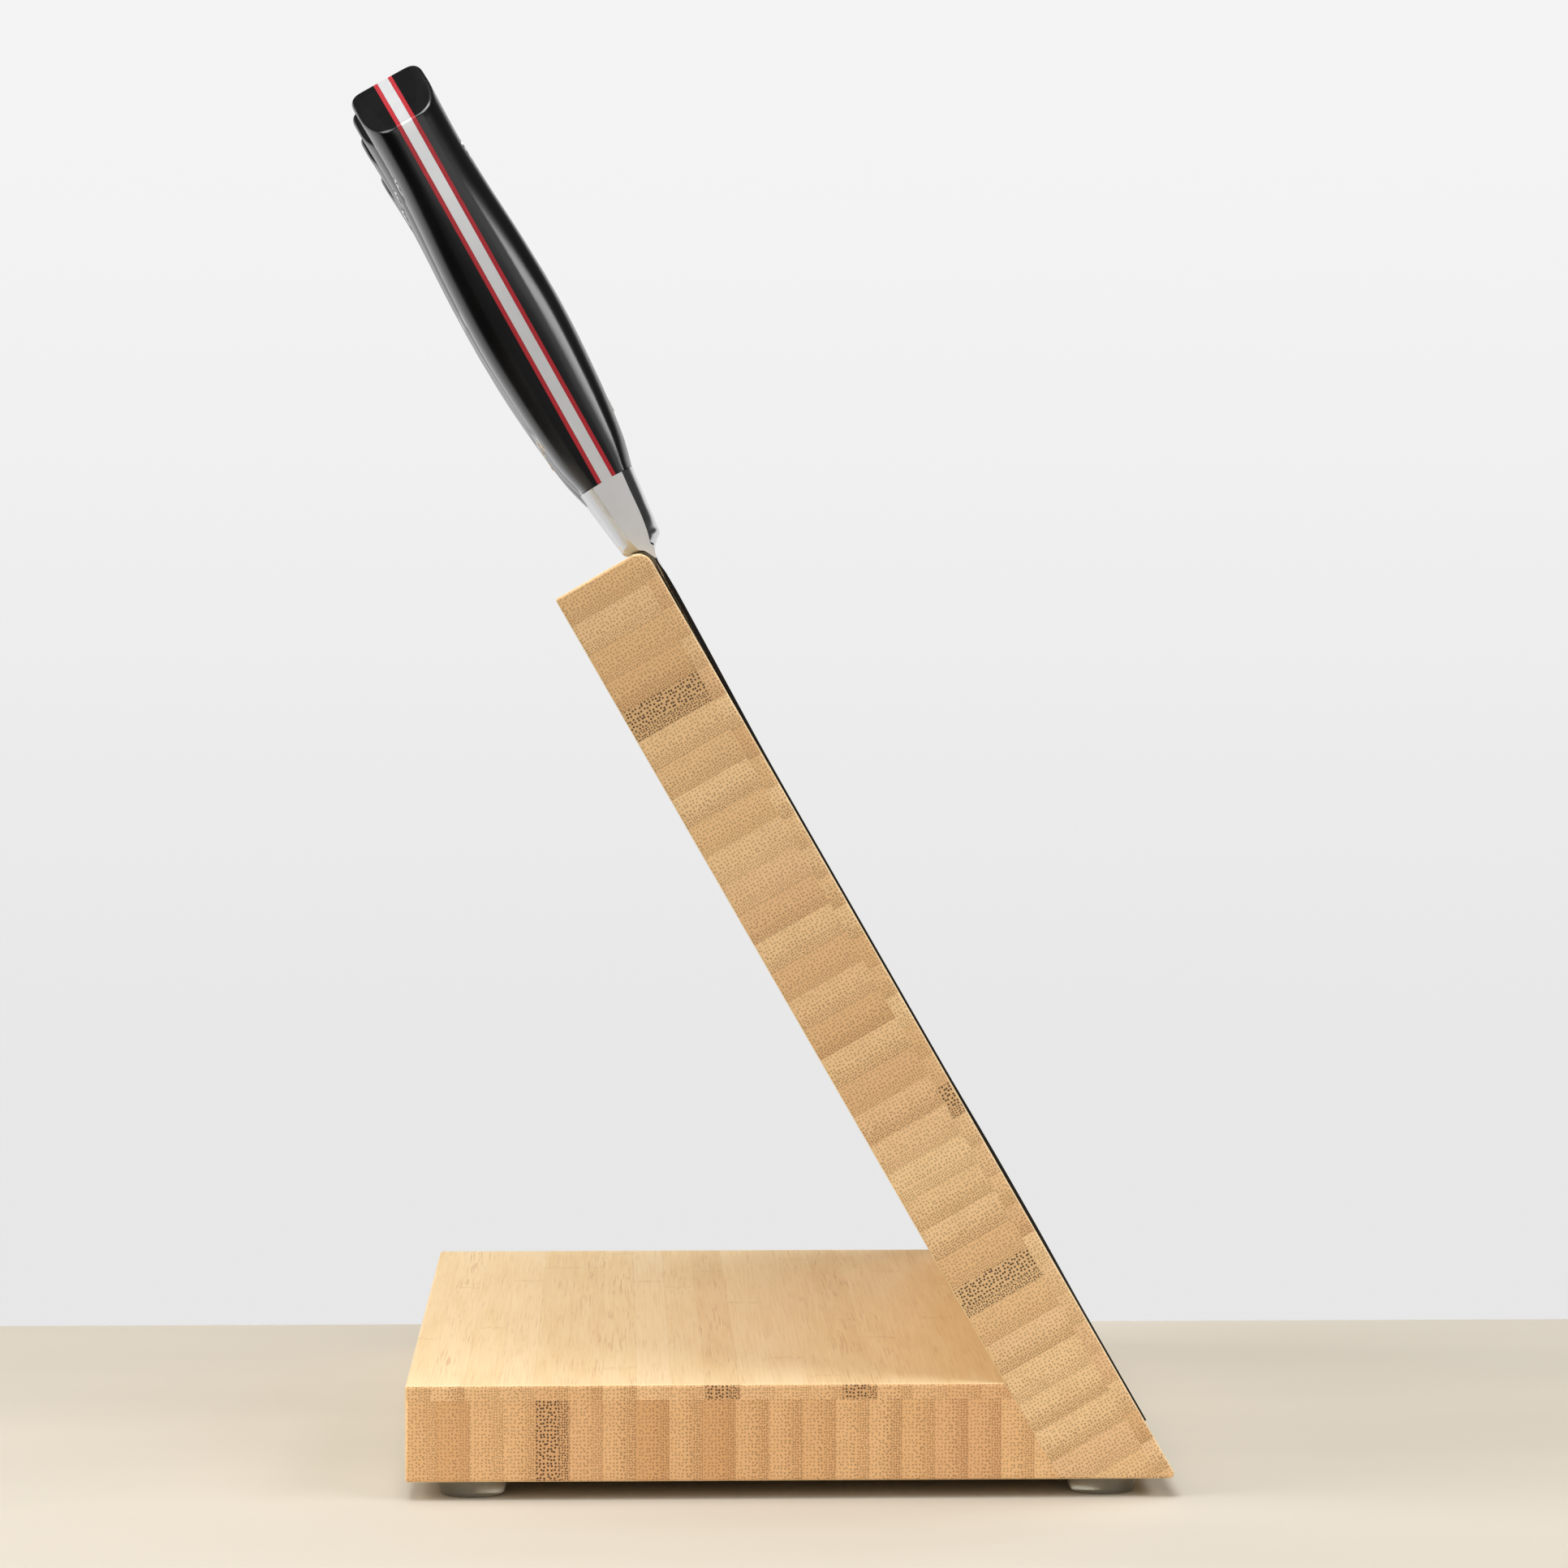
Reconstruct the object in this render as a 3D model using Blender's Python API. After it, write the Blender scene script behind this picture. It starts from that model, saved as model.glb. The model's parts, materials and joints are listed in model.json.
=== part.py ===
"""A leaning magnetic knife block of laminated bamboo, with four forged kitchen knives held on its outer face.

Lengths are in metres. +Z is up, +X runs from the base board to the face that holds the knives, and +Y runs
along the boards, from the chef's knife to the utility knife. The origin is on the floor, under the middle.
The upright board, and all that it holds, is modelled in the board's own frame: X is the height above its
outer face, Y as above, and Z the distance up the board from its toe.
"""

import math
from dataclasses import dataclass

import bmesh
import bpy
import numpy as np
from mathutils import Vector

MM = 0.001
GAP = 0.3 * MM  # left between pieces that touch

# The block
BLOCK_WIDTH = 220 * MM
BASE_THICKNESS = 20.3 * MM
UPRIGHT_THICKNESS = 21.3 * MM
PLY_THICKNESS = 3.2 * MM  # the thin lamination on each board's show face
UPRIGHT_LENGTH = 223.7 * MM
LEAN = math.radians(29.8)  # of the upright, from the vertical
TOE_REACH = 161.1 * MM  # from the base's free end to the upright's toe before it is rounded
BASE_END_X = -73.54 * MM  # the base's free end, which centres the object over its origin
UNDERSIDE_Z = 3.8 * MM
TOP_CORNER_RADIUS = 3.2 * MM  # of the upright's top outer edge, where the bolsters rest
TOE_RADIUS = 0.9 * MM
EDGE_SOFTENING = 0.7 * MM

# The feet: tapered clear bumpers
FOOT_TOP_RADIUS = 7.75 * MM
FOOT_BOTTOM_RADIUS = 6.4 * MM
FOOT_X = (13.8 * MM, 146.0 * MM)  # from the base's free end
FOOT_Y = 100 * MM
FOOT_SIDES = 24

# What the boards hide
DOWEL_RADIUS = 4 * MM
DOWEL_X = (112 * MM, 146 * MM)  # from the base's free end
DOWEL_Y = {"front": -75 * MM, "middle": 0.0, "back": 75 * MM}
DOWEL_SIDES = 16
MAGNET_SIZE = Vector((5 * MM, 190 * MM, 20 * MM))
MAGNET_HEIGHTS = {"low": 50 * MM, "middle": 115 * MM, "high": 180 * MM}

# The knives. A handle is measured along its axis from the bolster's shoulder: (distance, size).
HANDLE_LENGTH = 86.1 * MM  # along the spine
BUTT_SLOPE = 12.1 * MM  # how much further the butt reaches at the belly
BUTT_SLOPE_START = 30 * MM
BUTT_ROUNDING = 0.8 * MM
TANG_HALF = 1.25 * MM
LINER_OUTER = 2.2 * MM
HANDLE_HALF_WIDTH = (
    (0, 6.0), (5.6, 7.4), (12.6, 8.4), (22.6, 9.3), (38, 10.0), (50.6, 9.6), (64.6, 8.6), (73, 8.2),
    (79, 8.3), (86.1, 8.5),
)  # fmt: skip
HANDLE_SPINE = ((0, 0.0), (20, -0.6), (45, -1.2), (65, -0.6), (86.1, 1.6))
HANDLE_BELLY = ((0, 22.0), (14, 23.2), (34, 25.2), (54, 24.4), (70, 24.2), (86.1, 28.6))
BOLSTER_HALF_WIDTH = (
    (-27, 0.5), (-23.2, 0.5), (-21, 0.75), (-19.2, 1.15), (-17.2, 1.95), (-16.1, 3.05), (-15.3, 4.05),
    (-13.4, 4.5), (-8.5, 5.08), (-4.3, 5.55), (0, 6.0),
)  # fmt: skip
BOLSTER_FACET_HALF = (
    (-23.2, 0.3), (-19.4, 0.1), (-16, 1.4), (-14.3, 1.9), (-12, 2.35), (-8.8, 2.75), (-4.3, 3.1), (0, 3.5),
)  # fmt: skip
BOLSTER_LENGTH = 22.7 * MM
NECK_BELLY = 20 * MM
HEEL_START = 19.5 * MM  # where the belly turns down to the heel, from the shoulder
HEEL_END = 23.2 * MM
BLADE_SHAPE_START = 18 * MM  # where the bolster's section starts to thin into a blade's
BLADE_SHAPE_END = 27 * MM
BOLSTER_CORNER_OFFSET = 0.3 * MM  # of the handle's axis above the face, at the board's top edge
EDGE_HALF = 0.15 * MM
TIP_HALF = 0.25 * MM
RIVET_RADIUS = 3 * MM
RIVET_PLACES = (15 * MM, 43 * MM, 70 * MM)
RIVET_SIDES = 12
SECTION = (0.0, 0.035, 0.13, 0.3, 0.7, 0.88, 0.97, 1.0)  # levels of a section, from the spine to the belly
SCALE_SECTION_STEPS = 8
SCALE_SQUARENESS = 2.6


@dataclass(frozen=True)
class Knife:
    """One knife: where it hangs, and its blade's outline, whose point lies below the spine's line."""

    name: str
    spine_y: float
    rise: float  # of the bolster's shoulder above the board's top edge
    cant: float  # of the handle away from the board's plane, in degrees
    handle_scale: float
    blade_length: float
    blade_height: float
    point_drop: float
    spine_start: float  # the share of the blade where the spine starts to drop
    belly_power: float
    spine_half: float


KNIVES = (
    Knife("chef_knife", -95 * MM, 16.3 * MM, 0.56, 1.0, 208 * MM, 46 * MM, 10 * MM, 0.5, 2.2, 0.4 * MM),
    Knife("slicing_knife", -40 * MM, 18.8 * MM, -0.2, 1.0, 203 * MM, 32 * MM, 9 * MM, 0.45, 3.6, 0.5 * MM),
    Knife("santoku_knife", 2 * MM, 17.9 * MM, -0.6, 1.0, 178 * MM, 46 * MM, 33 * MM, 0.62, 3.0, 0.5 * MM),
    Knife("utility_knife", 58 * MM, 15.9 * MM, -0.95, 0.97, 127 * MM, 23.5 * MM, 8 * MM, 0.4, 2.6, 0.45 * MM),
)

BAMBOO = (0.60, 0.36, 0.15)
BAMBOO_FACE = (0.79, 0.55, 0.29)
BEECH = (0.62, 0.43, 0.25)
MAGNET = (0.09, 0.09, 0.10)
CLEAR_RUBBER = (0.55, 0.52, 0.45)
BLADE_STEEL = (0.62, 0.63, 0.64)
RIVET_STEEL = (0.66, 0.67, 0.68)
LINER_RED = (0.36, 0.05, 0.03)
SCALE_BLACK = (0.012, 0.012, 0.013)


def clear_scene():
    for obj in list(bpy.data.objects):
        bpy.data.objects.remove(obj, do_unlink=True)


def add_collection(name):
    collection = bpy.data.collections.new(name)
    bpy.context.scene.collection.children.link(collection)
    return collection


def make_material(name, colour, roughness, metallic=0.0, transmission=0.0):
    material = bpy.data.materials.new(name)
    material.use_nodes = True
    shader = material.node_tree.nodes["Principled BSDF"]
    shader.inputs["Base Color"].default_value = (*colour, 1.0)
    shader.inputs["Roughness"].default_value = roughness
    shader.inputs["Metallic"].default_value = metallic
    shader.inputs["Transmission Weight"].default_value = transmission
    return material


def add_object(name, mesh, collection, parent=None, material=None):
    obj = bpy.data.objects.new(name, mesh)
    collection.objects.link(obj)
    obj.parent = parent
    if material:
        mesh.materials.append(material)
    return obj


def add_frame(name, collection, parent=None, location=(0, 0, 0), turn_about_y=0.0):
    """An empty that carries pieces. It isn't a piece itself."""
    frame = bpy.data.objects.new(name, None)
    frame.empty_display_size = 20 * MM
    collection.objects.link(frame)
    frame.parent = parent
    frame.location = location
    frame.rotation_euler.y = turn_about_y
    return frame


def as_mesh(curve_object):
    """The curve's welded mesh, in the curve's own axes. The curve is removed."""
    bpy.context.view_layer.update()
    depsgraph = bpy.context.evaluated_depsgraph_get()
    mesh = bpy.data.meshes.new_from_object(curve_object.evaluated_get(depsgraph))
    work = bmesh.new()
    work.from_mesh(mesh)
    bmesh.ops.remove_doubles(work, verts=work.verts, dist=0.01 * MM)
    bmesh.ops.recalc_face_normals(work, faces=work.faces)
    work.to_mesh(mesh)
    work.free()
    curve = curve_object.data
    bpy.data.objects.remove(curve_object, do_unlink=True)
    bpy.data.curves.remove(curve)
    return mesh


def prism(name, outline, width, collection, parent, material):
    """A solid of one outline in the XZ plane, extruded along Y about the middle."""
    curve = bpy.data.curves.new(name, "CURVE")
    curve.dimensions = "2D"
    curve.fill_mode = "BOTH"
    curve.extrude = width / 2
    spline = curve.splines.new("POLY")
    spline.points.add(len(outline) - 1)
    for point, (x, z) in zip(spline.points, outline, strict=True):
        point.co = (x, z, 0, 1)
    spline.use_cyclic_u = True
    flat = bpy.data.objects.new(name + "_outline", curve)
    collection.objects.link(flat)
    mesh = as_mesh(flat)
    for vertex in mesh.vertices:
        x, z, across = vertex.co
        vertex.co = (x, -across, z)
    return add_object(name, mesh, collection, parent, material)


def soften(obj, is_edge, radius, segments):
    """Rounds the edges that is_edge picks by their two ends."""
    work = bmesh.new()
    work.from_mesh(obj.data)
    edges = [e for e in work.edges if is_edge(*(v.co for v in e.verts))]
    bmesh.ops.bevel(
        work, geom=edges, offset=radius, offset_type="OFFSET", segments=segments, profile=0.5, affect="EDGES"
    )
    bmesh.ops.recalc_face_normals(work, faces=work.faces)
    work.to_mesh(obj.data)
    work.free()


def box_mesh(name, size):
    work = bmesh.new()
    bmesh.ops.create_cube(work, size=1.0)
    bmesh.ops.scale(work, vec=size, verts=work.verts)
    mesh = bpy.data.meshes.new(name)
    work.to_mesh(mesh)
    work.free()
    return mesh


def rod_mesh(name, radius, length, sides, end_radius=None):
    """A cylinder along Z about the middle, or a cone whose top has end_radius."""
    work = bmesh.new()
    top = radius if end_radius is None else end_radius
    bmesh.ops.create_cone(
        work, cap_ends=True, segments=sides, radius1=radius, radius2=top, depth=length
    )
    mesh = bpy.data.meshes.new(name)
    work.to_mesh(mesh)
    work.free()
    mesh.shade_smooth()
    mesh.set_sharp_from_angle(angle=math.radians(40))
    return mesh


def cut(obj, cutter):
    modifier = obj.modifiers.new(cutter.name, "BOOLEAN")
    modifier.operation = "DIFFERENCE"
    modifier.solver = "EXACT"
    modifier.object = cutter


def add_cutter(name, mesh, collection, parent, location, turn_about_y=0.0):
    cutter = add_object(name, mesh, collection, parent)
    cutter.location = location
    cutter.rotation_euler.y = turn_about_y
    cutter.hide_render = True
    cutter.display_type = "WIRE"
    return cutter


def curve_through(points, place):
    """A smooth curve through (distance, size) points in millimetres, at a place in metres."""
    places, sizes = (np.array(column, float) for column in zip(*points, strict=True))
    slopes = np.gradient(sizes, places)
    at = float(np.clip(place / MM, places[0], places[-1]))
    i = int(np.clip(np.searchsorted(places, at) - 1, 0, len(places) - 2))
    span = places[i + 1] - places[i]
    u = (at - places[i]) / span
    start = sizes[i] * (1 + 2 * u) * (1 - u) ** 2 + slopes[i] * span * u * (1 - u) ** 2
    end = sizes[i + 1] * u**2 * (3 - 2 * u) + slopes[i + 1] * span * u**2 * (u - 1)
    return (start + end) * MM


def smooth_step(value, start, end):
    u = min(max((value - start) / (end - start), 0.0), 1.0)
    return u * u * (3 - 2 * u)


def loft(name, rings, collection, parent, material):
    """A closed solid through rings of equally many points, with a flat face at each end."""
    work = bmesh.new()
    rows = [[work.verts.new(point) for point in ring] for ring in rings]
    count = len(rings[0])
    for low, high in zip(rows, rows[1:], strict=False):
        for i in range(count):
            j = (i + 1) % count
            work.faces.new((low[i], low[j], high[j], high[i]))
    work.faces.new(rows[0])
    work.faces.new(rows[-1])
    bmesh.ops.recalc_face_normals(work, faces=work.faces)
    mesh = bpy.data.meshes.new(name)
    work.to_mesh(mesh)
    work.free()
    mesh.shade_smooth()
    mesh.set_sharp_from_angle(angle=math.radians(35))
    return add_object(name, mesh, collection, parent, material)


# ---------------------------------------------------------------- block


def build_base(collection, dowel_holes, materials):
    """The base board: a core of upright strips, and a thin top lamination, both cut to the upright's lean."""
    top_z = UNDERSIDE_Z + BASE_THICKNESS
    seam_z = top_z - PLY_THICKNESS
    inner_reach = TOE_REACH - (UPRIGHT_THICKNESS + GAP) / math.cos(LEAN)

    def outline(low, high):
        ends = [BASE_END_X + inner_reach - (z - UNDERSIDE_Z) * math.tan(LEAN) for z in (low, high)]
        return [(BASE_END_X, low), (ends[0], low), (ends[1], high), (BASE_END_X, high)]

    core = prism(
        "base_core", outline(UNDERSIDE_Z, seam_z - GAP / 2), BLOCK_WIDTH, collection, None, materials["core"]
    )
    ply = prism(
        "base_top_ply", outline(seam_z + GAP / 2, top_z), BLOCK_WIDTH, collection, None, materials["face"]
    )

    def is_top_rim(a, b):
        return min(a.z, b.z) > top_z - GAP and min(a.x, b.x) < BASE_END_X + GAP

    soften(ply, is_top_rim, EDGE_SOFTENING, 2)
    for hole in dowel_holes:
        cut(core, hole)


def build_upright(frame, collection, cutters, dowel_holes, materials):
    """The leaning board: a core with the magnets' pockets, and the face lamination that hides them."""
    seam = -PLY_THICKNESS

    def outline(inner, outer):
        feet = [-h * math.tan(LEAN) for h in (inner, outer)]
        return [(outer, feet[1]), (outer, UPRIGHT_LENGTH), (inner, UPRIGHT_LENGTH), (inner, feet[0])]

    core = prism(
        "upright_core",
        outline(-UPRIGHT_THICKNESS, seam - GAP / 2),
        BLOCK_WIDTH,
        collection,
        frame,
        materials["core"],
    )
    ply = prism(
        "upright_face_ply", outline(seam + GAP / 2, 0.0), BLOCK_WIDTH, collection, frame, materials["face"]
    )

    def is_top_corner(a, b):
        top = min(a.z, b.z) > UPRIGHT_LENGTH - GAP
        return top and min(a.x, b.x) > -GAP

    def is_toe(a, b):
        return max(a.z, b.z) < GAP and min(a.x, b.x) > -GAP

    def is_inner_rim(a, b):
        inner = max(a.x, b.x) < -UPRIGHT_THICKNESS + GAP
        return inner and min(a.z, b.z) > UPRIGHT_LENGTH - GAP

    soften(ply, is_top_corner, TOP_CORNER_RADIUS, 5)
    soften(ply, is_toe, TOE_RADIUS, 3)
    soften(core, is_inner_rim, EDGE_SOFTENING, 2)
    for hole in dowel_holes:
        cut(core, hole)

    depth = MAGNET_SIZE.x + 2 * GAP
    for level, height in MAGNET_HEIGHTS.items():
        middle = Vector((seam - GAP / 2 - depth / 2, 0, height))
        # The pocket's cutter runs past the core's face, so that the pocket is open towards the lamination.
        size = MAGNET_SIZE + Vector((2 * GAP + 2 * MM, 2 * GAP, 2 * GAP))
        mesh = box_mesh(f"magnet_pocket_{level}", size)
        pocket = add_cutter(mesh.name, mesh, cutters, frame, middle + Vector((1 * MM, 0, 0)))
        cut(core, pocket)
        mesh = box_mesh(f"magnet_bar_{level}", MAGNET_SIZE)
        add_object(mesh.name, mesh, collection, frame, materials["magnet"]).location = middle


def build_dowels(collection, cutters, materials):
    """Three dowels across the slanted joint. Their holes' cutters are returned."""
    start, end = (BASE_END_X + x for x in DOWEL_X)
    place_z = UNDERSIDE_Z + (BASE_THICKNESS - PLY_THICKNESS) / 2
    holes = []
    for level, y in DOWEL_Y.items():
        place = ((start + end) / 2, y, place_z)
        mesh = rod_mesh(f"dowel_{level}", DOWEL_RADIUS, end - start, DOWEL_SIDES)
        dowel = add_object(mesh.name, mesh, collection, None, materials["dowel"])
        dowel.location = place
        dowel.rotation_euler.y = math.pi / 2
        mesh = rod_mesh(f"dowel_hole_{level}", DOWEL_RADIUS + GAP, end - start + 2 * GAP, DOWEL_SIDES)
        holes.append(add_cutter(mesh.name, mesh, cutters, None, place, math.pi / 2))
    return holes


def build_feet(collection, materials):
    height = UNDERSIDE_Z - GAP
    for side, y in (("front", -FOOT_Y), ("back", FOOT_Y)):
        for end, x in zip(("left", "right"), FOOT_X, strict=True):
            mesh = rod_mesh(f"foot_{side}_{end}", FOOT_BOTTOM_RADIUS, height, FOOT_SIDES, FOOT_TOP_RADIUS)
            foot = add_object(mesh.name, mesh, collection, None, materials["foot"])
            foot.location = (BASE_END_X + x, y, height / 2)


# ---------------------------------------------------------------- knives


def lowest_over_board(up):
    """How close to the face's plane a piece may come at this distance up the board."""
    arc_start = UPRIGHT_LENGTH - TOP_CORNER_RADIUS
    if up <= arc_start:
        return GAP
    reach = min((up - arc_start) / TOP_CORNER_RADIUS, 1.0)
    arc = TOP_CORNER_RADIUS * (math.sqrt(1 - reach**2) - 1)
    return arc + GAP if up < UPRIGHT_LENGTH + GAP else -UPRIGHT_THICKNESS


def butt_shift(knife, along, level):
    """How far the sloping butt moves a handle's point along the axis, from 0 at the spine."""
    start = BUTT_SLOPE_START * knife.handle_scale
    end = HANDLE_LENGTH * knife.handle_scale
    return BUTT_SLOPE * knife.handle_scale * level * smooth_step(along, start, end)


def handle_size(knife, points, along):
    return curve_through(points, along / knife.handle_scale) * knife.handle_scale


def handle_stations(knife, start, count):
    """Distances along the handle, and the two that round the butt: (distance, inset)."""
    end = HANDLE_LENGTH * knife.handle_scale
    body = [(start + (end - BUTT_ROUNDING - start) * i / (count - 1), 0.0) for i in range(count)]
    return [*body, (end - 0.3 * BUTT_ROUNDING, 0.3 * BUTT_ROUNDING), (end, BUTT_ROUNDING)]


def handle_ring(knife, along, inset, profile):
    """Points of a handle's section. profile gives (across, level) from the spine to the belly and back."""
    top = handle_size(knife, HANDLE_SPINE, along) + inset
    bottom = handle_size(knife, HANDLE_BELLY, along) - inset
    return [
        Vector((across, top + (bottom - top) * level, along + butt_shift(knife, along, level)))
        for across, level in profile
    ]


def rivet_place(knife, place):
    along = place * knife.handle_scale
    top = handle_size(knife, HANDLE_SPINE, along)
    bottom = handle_size(knife, HANDLE_BELLY, along)
    return Vector((0, (top + bottom) / 2, along + butt_shift(knife, along, 0.5)))


def blade_outline(knife, share):
    """The spine's and the edge's places below the spine's line, at a share of the blade's length."""
    drop = max(share - knife.spine_start, 0.0) / (1 - knife.spine_start)
    spine = knife.point_drop * drop**1.8
    edge = knife.point_drop + (knife.blade_height - knife.point_drop) * (1 - share**knife.belly_power)
    return spine, max(edge, spine + 1.2 * MM)


def forged_section(knife, along):
    """One section of the bolster or blade, in the knife's frame."""
    up = UPRIGHT_LENGTH + knife.rise + along
    floor = lowest_over_board(up) - knife_lift(knife)
    scaled = along / knife.handle_scale
    flat = smooth_step(-scaled, BLADE_SHAPE_START, BLADE_SHAPE_END)  # how much of a blade the section is
    share = max(-along - BOLSTER_LENGTH * knife.handle_scale, 0.0) / knife.blade_length
    spine, edge = blade_outline(knife, share)
    neck = curve_through(HANDLE_BELLY, 0) + (NECK_BELLY - curve_through(HANDLE_BELLY, 0)) * smooth_step(
        -scaled, 0, HEEL_START
    )
    heel = smooth_step(-scaled, HEEL_START, HEEL_END)
    bottom = neck * knife.handle_scale * (1 - heel) + edge * heel
    spine_half = knife.spine_half + (TIP_HALF - knife.spine_half) * share
    half = handle_size(knife, BOLSTER_HALF_WIDTH, along) * (1 - flat) + spine_half * flat
    facet = handle_size(knife, BOLSTER_FACET_HALF, along)
    centre = along * math.tan(math.radians(knife.cant)) * (1 - flat) + (floor + spine_half) * flat
    outer_side = max(centre + half, floor + 2 * spine_half)
    inner_side = max(centre - half, floor)
    middle = (outer_side + inner_side) / 2
    half = (outer_side - inner_side) / 2
    facet = min(facet, half)
    points = []
    for level in SECTION:
        wedge = half + (EDGE_HALF - half) * level
        rim = min(min(level, 1 - level) / SECTION[3], 1.0)
        rounded = facet + (half - facet) * math.sqrt(1 - (1 - rim) ** 2)
        across = rounded * (1 - flat) + wedge * flat
        points.append((across, spine + (bottom - spine) * level))
    return middle, points


def knife_lift(knife):
    """The handle axis's height above the face at the bolster's shoulder."""
    return BOLSTER_CORNER_OFFSET + knife.rise * math.tan(math.radians(knife.cant))


def build_forging(knife, frame, collection, materials):
    """Blade, bolster and full tang in one piece. The blade lies along the face, and the handle is canted."""
    cant = math.radians(knife.cant)
    rings = []
    neck_end = HEEL_END * knife.handle_scale
    blade_end = BOLSTER_LENGTH * knife.handle_scale + knife.blade_length
    shares = [1.0, 0.985, 0.95, 0.89, 0.8, 0.7, 0.58, 0.44, 0.28, 0.12]
    blade = [-(neck_end + (blade_end - neck_end) * share) for share in shares]
    neck_places = (23.2, 22.2, 21, 19.8, 19, 18.2, 17.4, 16.6, 15.8, 15, 13, 10, 7, 4, 2, 0)
    neck = [-place * MM * knife.handle_scale for place in neck_places]
    for along in blade + neck:
        middle, points = forged_section(knife, along)
        ring = [Vector((middle + across, y, along)) for across, y in points]
        ring += [Vector((middle - across, y, along)) for across, y in reversed(points)]
        rings.append(ring)
    profile = [(TANG_HALF, level) for level in SECTION]
    profile += [(-TANG_HALF, level) for level in reversed(SECTION)]
    for along, inset in handle_stations(knife, 0.1 * MM, 9):
        ring = handle_ring(knife, along, inset, profile)
        for point in ring:
            x, z = point.x, point.z
            point.x = x * math.cos(cant) + z * math.sin(cant)
            point.z = z * math.cos(cant) - x * math.sin(cant)
        rings.append(ring)
    return loft(f"{knife.name}_blade", rings, collection, frame, materials["blade"])


def build_liner(knife, side, sign, frame, collection, materials):
    inner, outer = sign * (TANG_HALF + GAP), sign * LINER_OUTER
    profile = [(inner, 0.0), (inner, 1.0), (outer, 1.0), (outer, 0.0)]
    stations = handle_stations(knife, GAP + 0.1 * MM, 9)
    rings = [handle_ring(knife, along, inset, profile) for along, inset in stations]
    return loft(f"{knife.name}_liner_{side}", rings, collection, frame, materials["liner"])


def build_scale(knife, side, sign, frame, collection, materials):
    """A black handle scale: flat against its liner and rounded outside."""
    inner = LINER_OUTER + GAP
    rings = []
    for along, inset in handle_stations(knife, GAP + 0.1 * MM, 11):
        half = handle_size(knife, HANDLE_HALF_WIDTH, along) - inset
        profile = []
        for i in range(SCALE_SECTION_STEPS + 1):
            angle = math.pi * i / SCALE_SECTION_STEPS
            bulge = abs(math.sin(angle)) ** (2 / SCALE_SQUARENESS)
            turn = math.copysign(abs(math.cos(angle)) ** (2 / SCALE_SQUARENESS), math.cos(angle))
            profile.append((sign * (inner + (half - inner) * bulge), (1 - turn) / 2))
        rings.append(handle_ring(knife, along, inset, profile))
    return loft(f"{knife.name}_scale_{side}", rings, collection, frame, materials["scale"])


def build_knife(knife, board_frame, collection, cutters, materials):
    shoulder = UPRIGHT_LENGTH + knife.rise
    place = (knife_lift(knife), knife.spine_y, shoulder)
    frame = add_frame(knife.name, collection, board_frame, place)
    handle = add_frame(f"{knife.name}_handle", collection, frame, turn_about_y=math.radians(knife.cant))
    pierced = [build_forging(knife, frame, collection, materials)]
    for side, sign in (("inner", -1), ("outer", 1)):
        pierced.append(build_liner(knife, side, sign, handle, collection, materials))
        pierced.append(build_scale(knife, side, sign, handle, collection, materials))
    for number, place in enumerate(RIVET_PLACES, start=1):
        middle = rivet_place(knife, place)
        half = handle_size(knife, HANDLE_HALF_WIDTH, place * knife.handle_scale)
        mesh = rod_mesh(f"{knife.name}_rivet_{number}", RIVET_RADIUS, 2 * half, RIVET_SIDES)
        rivet = add_object(mesh.name, mesh, collection, handle, materials["rivet"])
        rivet.location = middle
        rivet.rotation_euler.y = math.pi / 2
        mesh = rod_mesh(f"{knife.name}_rivet_hole_{number}", RIVET_RADIUS + GAP, 4 * half, RIVET_SIDES)
        hole = add_cutter(mesh.name, mesh, cutters, handle, middle, math.pi / 2)
        for piece in pierced:
            cut(piece, hole)


def main():
    clear_scene()
    collection = add_collection("knife_block")
    cutters = add_collection("cutters")
    materials = {
        "core": make_material("bamboo_core", BAMBOO, 0.55),
        "face": make_material("bamboo_face", BAMBOO_FACE, 0.5),
        "dowel": make_material("beech_dowel", BEECH, 0.6),
        "magnet": make_material("magnet", MAGNET, 0.5, metallic=0.6),
        "foot": make_material("clear_rubber", CLEAR_RUBBER, 0.25, transmission=0.6),
        "blade": make_material("blade_steel", BLADE_STEEL, 0.28, metallic=1.0),
        "rivet": make_material("rivet_steel", RIVET_STEEL, 0.25, metallic=1.0),
        "liner": make_material("red_liner", LINER_RED, 0.45),
        "scale": make_material("black_scale", SCALE_BLACK, 0.3),
    }
    toe = (BASE_END_X + TOE_REACH, 0, UNDERSIDE_Z)
    board_frame = add_frame("upright_frame", collection, None, toe, -LEAN)
    holes = build_dowels(collection, cutters, materials)
    build_base(collection, holes, materials)
    build_upright(board_frame, collection, cutters, holes, materials)
    build_feet(collection, materials)
    for knife in KNIVES:
        build_knife(knife, board_frame, collection, cutters, materials)


main()
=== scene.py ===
"""The looks of a leaning magnetic knife block with four forged knives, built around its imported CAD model.

Lengths are in metres, in the CAD model's frame: +Z up, +X towards the board's outer face, +Y along the
boards. Pieces of the upright and the knives are placed in the board's own frame: X above its outer face,
Y along it, Z up it from the toe.
"""

import json
import math
from dataclasses import dataclass

import bmesh
import bpy
import numpy as np
from mathutils import Matrix, Vector


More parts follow.
